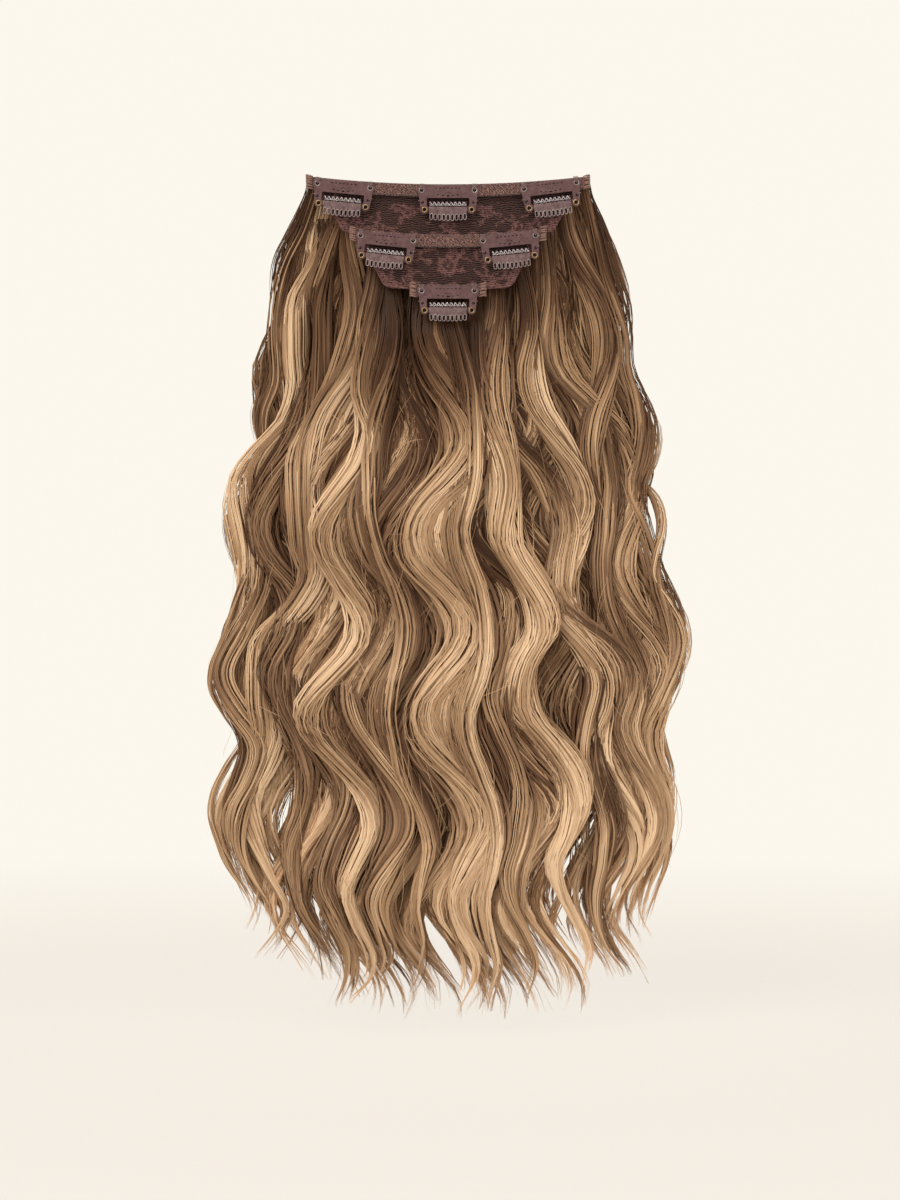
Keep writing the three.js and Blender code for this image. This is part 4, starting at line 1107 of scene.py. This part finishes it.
# name, band, place along the band's half width, and tilt in degrees
CLIPS = [("top_left_clip", "top", -0.74, 0.3), ("top_middle_clip", "top", 0, 0),
         ("top_right_clip", "top", 0.725, 2.4), ("middle_left_clip", "middle", -0.63, 0.8),
         ("middle_right_clip", "middle", 0.63, 1), ("bottom_clip", "bottom", 0, 0)]
SMALL_HOLE, SMALL_HOLE_DROP, SLOT_STRETCH = 13.2, 6.4, 1.6
# threads: through an ear (share of the lean, y, z), and from a small hole to the plate's side (x, y, z)
EAR_STITCH = ((0.3, -0.15, 0.1), (0.5, -0.95, 0.5), (0.9, -1.05, 1.5), (1.2, -0.75, 2.5), (1.3, -0.2, 3.1),
              (1.2, 0.5, 3.3))
SIDE_STITCH = ((13.2, -0.2, -6.5), (13.4, -0.75, -6.0), (14.4, -0.7, -5.6), (15.2, 0.1, -5.3))
EYELET_HALF, EYELET_DROP, LEG_END = 12.15, 10.1, 2.1
LEG_INNER = EYELET_HALF - LEG_END
COMB_HALF = LEG_INNER - 0.3
COMB_TOP, COMB_FOOT, COMB_ARCH, LOOPS = 8.6, 15.9, 0.6, 9
PITCH = 2 * COMB_HALF / LOOPS


def clip_place(tier, place, turn):
    """What moves a clip to its place on a band. turn: how far it is tilted beyond the band's curve."""
    x = place * BANDS[tier][0] / 2
    tilt = -math.asin(x / band_radius(tier)) - math.copysign(1, place) * math.radians(turn) * (place != 0)
    c, s = math.cos(tilt), math.sin(tilt)
    z0 = float(band_line(tier, x))

    def move(v):
        return np.c_[x + c * v[:, 0] + s * v[:, 2], PLATE_BACK + v[:, 1], z0 - s * v[:, 0] + c * v[:, 2]]

    return move


def dash(x, z, half_length, half_height, lean=0.0):
    """A small oval hole, leaning by an angle."""
    turn = np.arange(10) * 2 * math.pi / 10
    u, w = half_length * np.cos(turn), half_height * np.sin(turn)
    return np.c_[x + u * math.cos(lean) - w * math.sin(lean), z + u * math.sin(lean) + w * math.cos(lean)]


def frame_loops():
    """The outline of a clip's frame plate, and its holes."""
    right = np.concatenate([
        arc(CLIP_HALF - EAR_RADIUS, 0, EAR_RADIUS, 90, -45, 12),
        [(15.05, -2.15), (15, -2.9)],
        arc(EYELET_HALF, -EYELET_DROP, LEG_END, 0, -180, 16),
        [(LEG_INNER, -8.9), (LEG_INNER + 0.25, -8.45), (10.9, -8.3), (10.9, -4.5)],
        arc(10.5, -4.5, 0.4, 0, 90, 4),
    ])
    left = right[::-1] * (-1, 1)
    loops = [np.concatenate([right, left])]
    for s in (-1, 1):
        loops.append(circle(s * (CLIP_HALF - EAR_RADIUS), 0, EAR_HOLE + 0.1))
        loops.append(circle(s * SMALL_HOLE, -SMALL_HOLE_DROP, 0.75))
        loops.append(circle(s * EYELET_HALF, -EYELET_DROP, 1.3))
    for i in range(7):
        loops.append(dash((i - 3) * 2.0, 0.95, 0.6, 0.24))
    for x, z, lean in ((-5, -2.45, -0.25), (-2.6, -2.85, -0.15), (0, -3.05, 0), (2.6, -2.85, 0.15),
                       (5, -2.45, 0.25)):
        loops.append(dash(x, z, *((0.62, 0.23) if x else (0.8, 0.34)), lean))
    for x, z in ((-1.1, -1.5), (0, -1.15), (1.1, -1.5)):
        loops.append(dash(x, z, 0.38, 0.22))
    return loops


def comb_foot(x):
    return -COMB_FOOT + COMB_ARCH * (x / COMB_HALF) ** 2


LOOP_MIDDLES = [(i + 0.5) * PITCH - COMB_HALF for i in range(LOOPS)]


def comb_loops():
    """The outline of a comb's plate, with a round loop at each tooth, and its slots."""
    outline = [(COMB_HALF, -COMB_TOP), (-COMB_HALF, -COMB_TOP)]
    for x in LOOP_MIDDLES:
        for a in np.radians(np.linspace(-180, 0, 11)):
            outline.append((x + 0.43 * PITCH * math.cos(a), comb_foot(x) + 1.2 + 1.2 * math.sin(a)))
    return [np.array(outline)] + [circle(x, comb_foot(x) + 1.85, 0.6, 16, SLOT_STRETCH) for x in LOOP_MIDDLES]


def disc(x, z, radius, front, back):
    """A flat round plug from front to back along Y."""
    return tube([(x, front, z), (x, back, z)], radius, 20)


def box(x0, x1, y0, y1, z0, z1):
    corners = np.array([(x, y, z) for x in sorted((x0, x1)) for y in (y0, y1) for z in (z0, z1)])
    return corners, np.array([(0, 1, 3, 2), (4, 6, 7, 5), (0, 4, 5, 1), (2, 3, 7, 6), (0, 2, 6, 4),
                              (1, 5, 7, 3)])


def make_clip(name, tier, place, turn):
    """A snap clip: frame, rings, comb, grip strip, eyelets and the threads that sew it on."""
    move = clip_place(tier, place, turn)
    front, ring_highlights, shadow_plugs = Shapes(), Shapes(), Shapes()
    front.add(*plate(frame_loops(), -0.6, 0.6, 0.14, 3))
    # a dark sheet behind the stamped marks and dark plugs in the holes: painted shadow in them
    shadow_plugs.add(*box(-7.6, 7.6, -0.34, -0.12, -3.8, 1.6))
    for s in (-1, 1):
        ear = s * (CLIP_HALF - EAR_RADIUS)
        ring = circle(ear, 0, 1.25, 24)
        ring_highlights.add(*tube(np.c_[ring[:, 0], np.full(24, -0.62), ring[:, 1]], 0.3, 8, True))
        lug = s * LEG_INNER
        front.add(*box(lug, lug + 0.6 * s, -0.3, 2.0, -EYELET_DROP - 1.3, -EYELET_DROP + 1.3))
        shadow_plugs.add(*disc(ear, 0, 1.15, -0.3, -0.1))
        shadow_plugs.add(*disc(s * SMALL_HOLE, -SMALL_HOLE_DROP, 0.95, -0.34, -0.1))
        shadow_plugs.add(*disc(s * EYELET_HALF, -EYELET_DROP, 0.88, -0.5, -0.1))
    front.make(f"{name}_frame_plate", CLIP, "base", "clip", move, f"{name}_frame")
    ring_highlights.make(f"{name}_ear_rings", RIM_HIGHLIGHT, "base", "clip", move)
    shadow_plugs.make(f"{name}_painted_hole_shadows", SHADOW, "base", "clip", move)

    comb = Shapes()
    comb.add(*plate(comb_loops(), -0.55, 0.5, 0.12, 2))
    # rims round the comb's slots, in the lighter metal: painted highlight on their edges
    loops = Shapes()
    for x in LOOP_MIDDLES:
        rim = circle(x, comb_foot(x) + 1.8, 0.75, 18, SLOT_STRETCH)
        loops.add(*tube(np.c_[rim[:, 0], np.full(18, -0.5), rim[:, 1]], 0.2, 6, True))
    for i in range(LOOPS + 1):
        x = np.clip(i * PITCH - COMB_HALF, -COMB_HALF + 0.5, COMB_HALF - 0.5)
        zs = np.linspace(-9.2, comb_foot(x) + 3.4, 5)
        comb.add(*tube(np.c_[np.full(5, x), np.full(5, -0.5), zs], [0.05, 0.26, 0.28, 0.26, 0.1], 6))
        low = comb_foot(x) + 0.9
        tooth = [(x, -0.2, low), (x, 0.35, low - 0.1), (x, 0.85, low + 0.9), (x, 0.9, -11), (x, 0.85, -8),
                 (x, 0.6, -6.4), (x, 0.3, -5.75)]
        comb.add(*tube(tooth, [0.3, 0.34, 0.34, 0.34, 0.32, 0.28, 0.12], 6))
    for s in (-1, 1):
        pin = [(s * (COMB_HALF - 0.6), 1, -EYELET_DROP), (s * (COMB_HALF + 1.2), 1, -EYELET_DROP)]
        comb.add(*tube(pin, 0.5, 12))
        comb.add(*box(s * (COMB_HALF - 0.6), s * COMB_HALF, -0.3, 1.9, -EYELET_DROP - 1, -EYELET_DROP + 1))
    comb.make(f"{name}_comb_plate", COMB, f"{name}_comb", "comb", move, f"{name}_comb")
    loops.make(f"{name}_comb_loops", RIM_HIGHLIGHT, f"{name}_comb", "comb", move)

    grip = Shapes()
    x = np.linspace(-COMB_HALF + 0.3, COMB_HALF - 0.3, 12 * LOOPS + 1)
    turn = (x + COMB_HALF) / PITCH * 2 * math.pi
    teeth = np.arcsin(np.sin(turn)) / (math.pi / 2)
    grip.add(*tube(np.c_[x, 0.1 + 0.2 * np.cos(turn), -7 + 0.95 * teeth], 0.3, 6))
    grip.add(*tube(np.c_[x, 0.3 + 0 * x, -7.7 + 0.2 * np.sin(turn * 1.5)], 0.22, 6))
    grip.make(f"{name}_grip_strip", SILICONE, f"{name}_comb", "comb", move)

    for side, s in (("left", -1), ("right", 1)):
        profile = [(0.9, 0.0), (0.9, -0.95)]
        for a in np.linspace(math.pi, 0, 9):
            profile.append((1.25 + 0.35 * math.cos(a), -0.9 - 0.28 * math.sin(a)))
        profile += [(1.6, -0.85), (1.1, -0.85), (1.1, 0.0)]
        ring = Shapes()
        ring.add(*lathe(profile, (s * EYELET_HALF, 0, -EYELET_DROP), 32))
        ring.make(f"{name}_{side}_eyelet_ring", BRASS, "base", "eyelet", move, f"{name}_{side}_eyelet")

    sewn = Shapes()
    for s in (-1, 1):
        ear = s * (CLIP_HALF - EAR_RADIUS)
        for k in range(4):
            lean = (k - 1.5) * 0.5
            path = [(ear + share * lean, y, z) for share, y, z in EAR_STITCH]
            sewn.add(*tube(path, 0.25, 6))
        sewn.add(*tube([(s * x, y, z) for x, y, z in SIDE_STITCH], 0.22, 6))
    sewn.make(f"{name}_sewing", MAUVE, "base", "band", move)


for row in CLIPS:
    make_clip(*row)
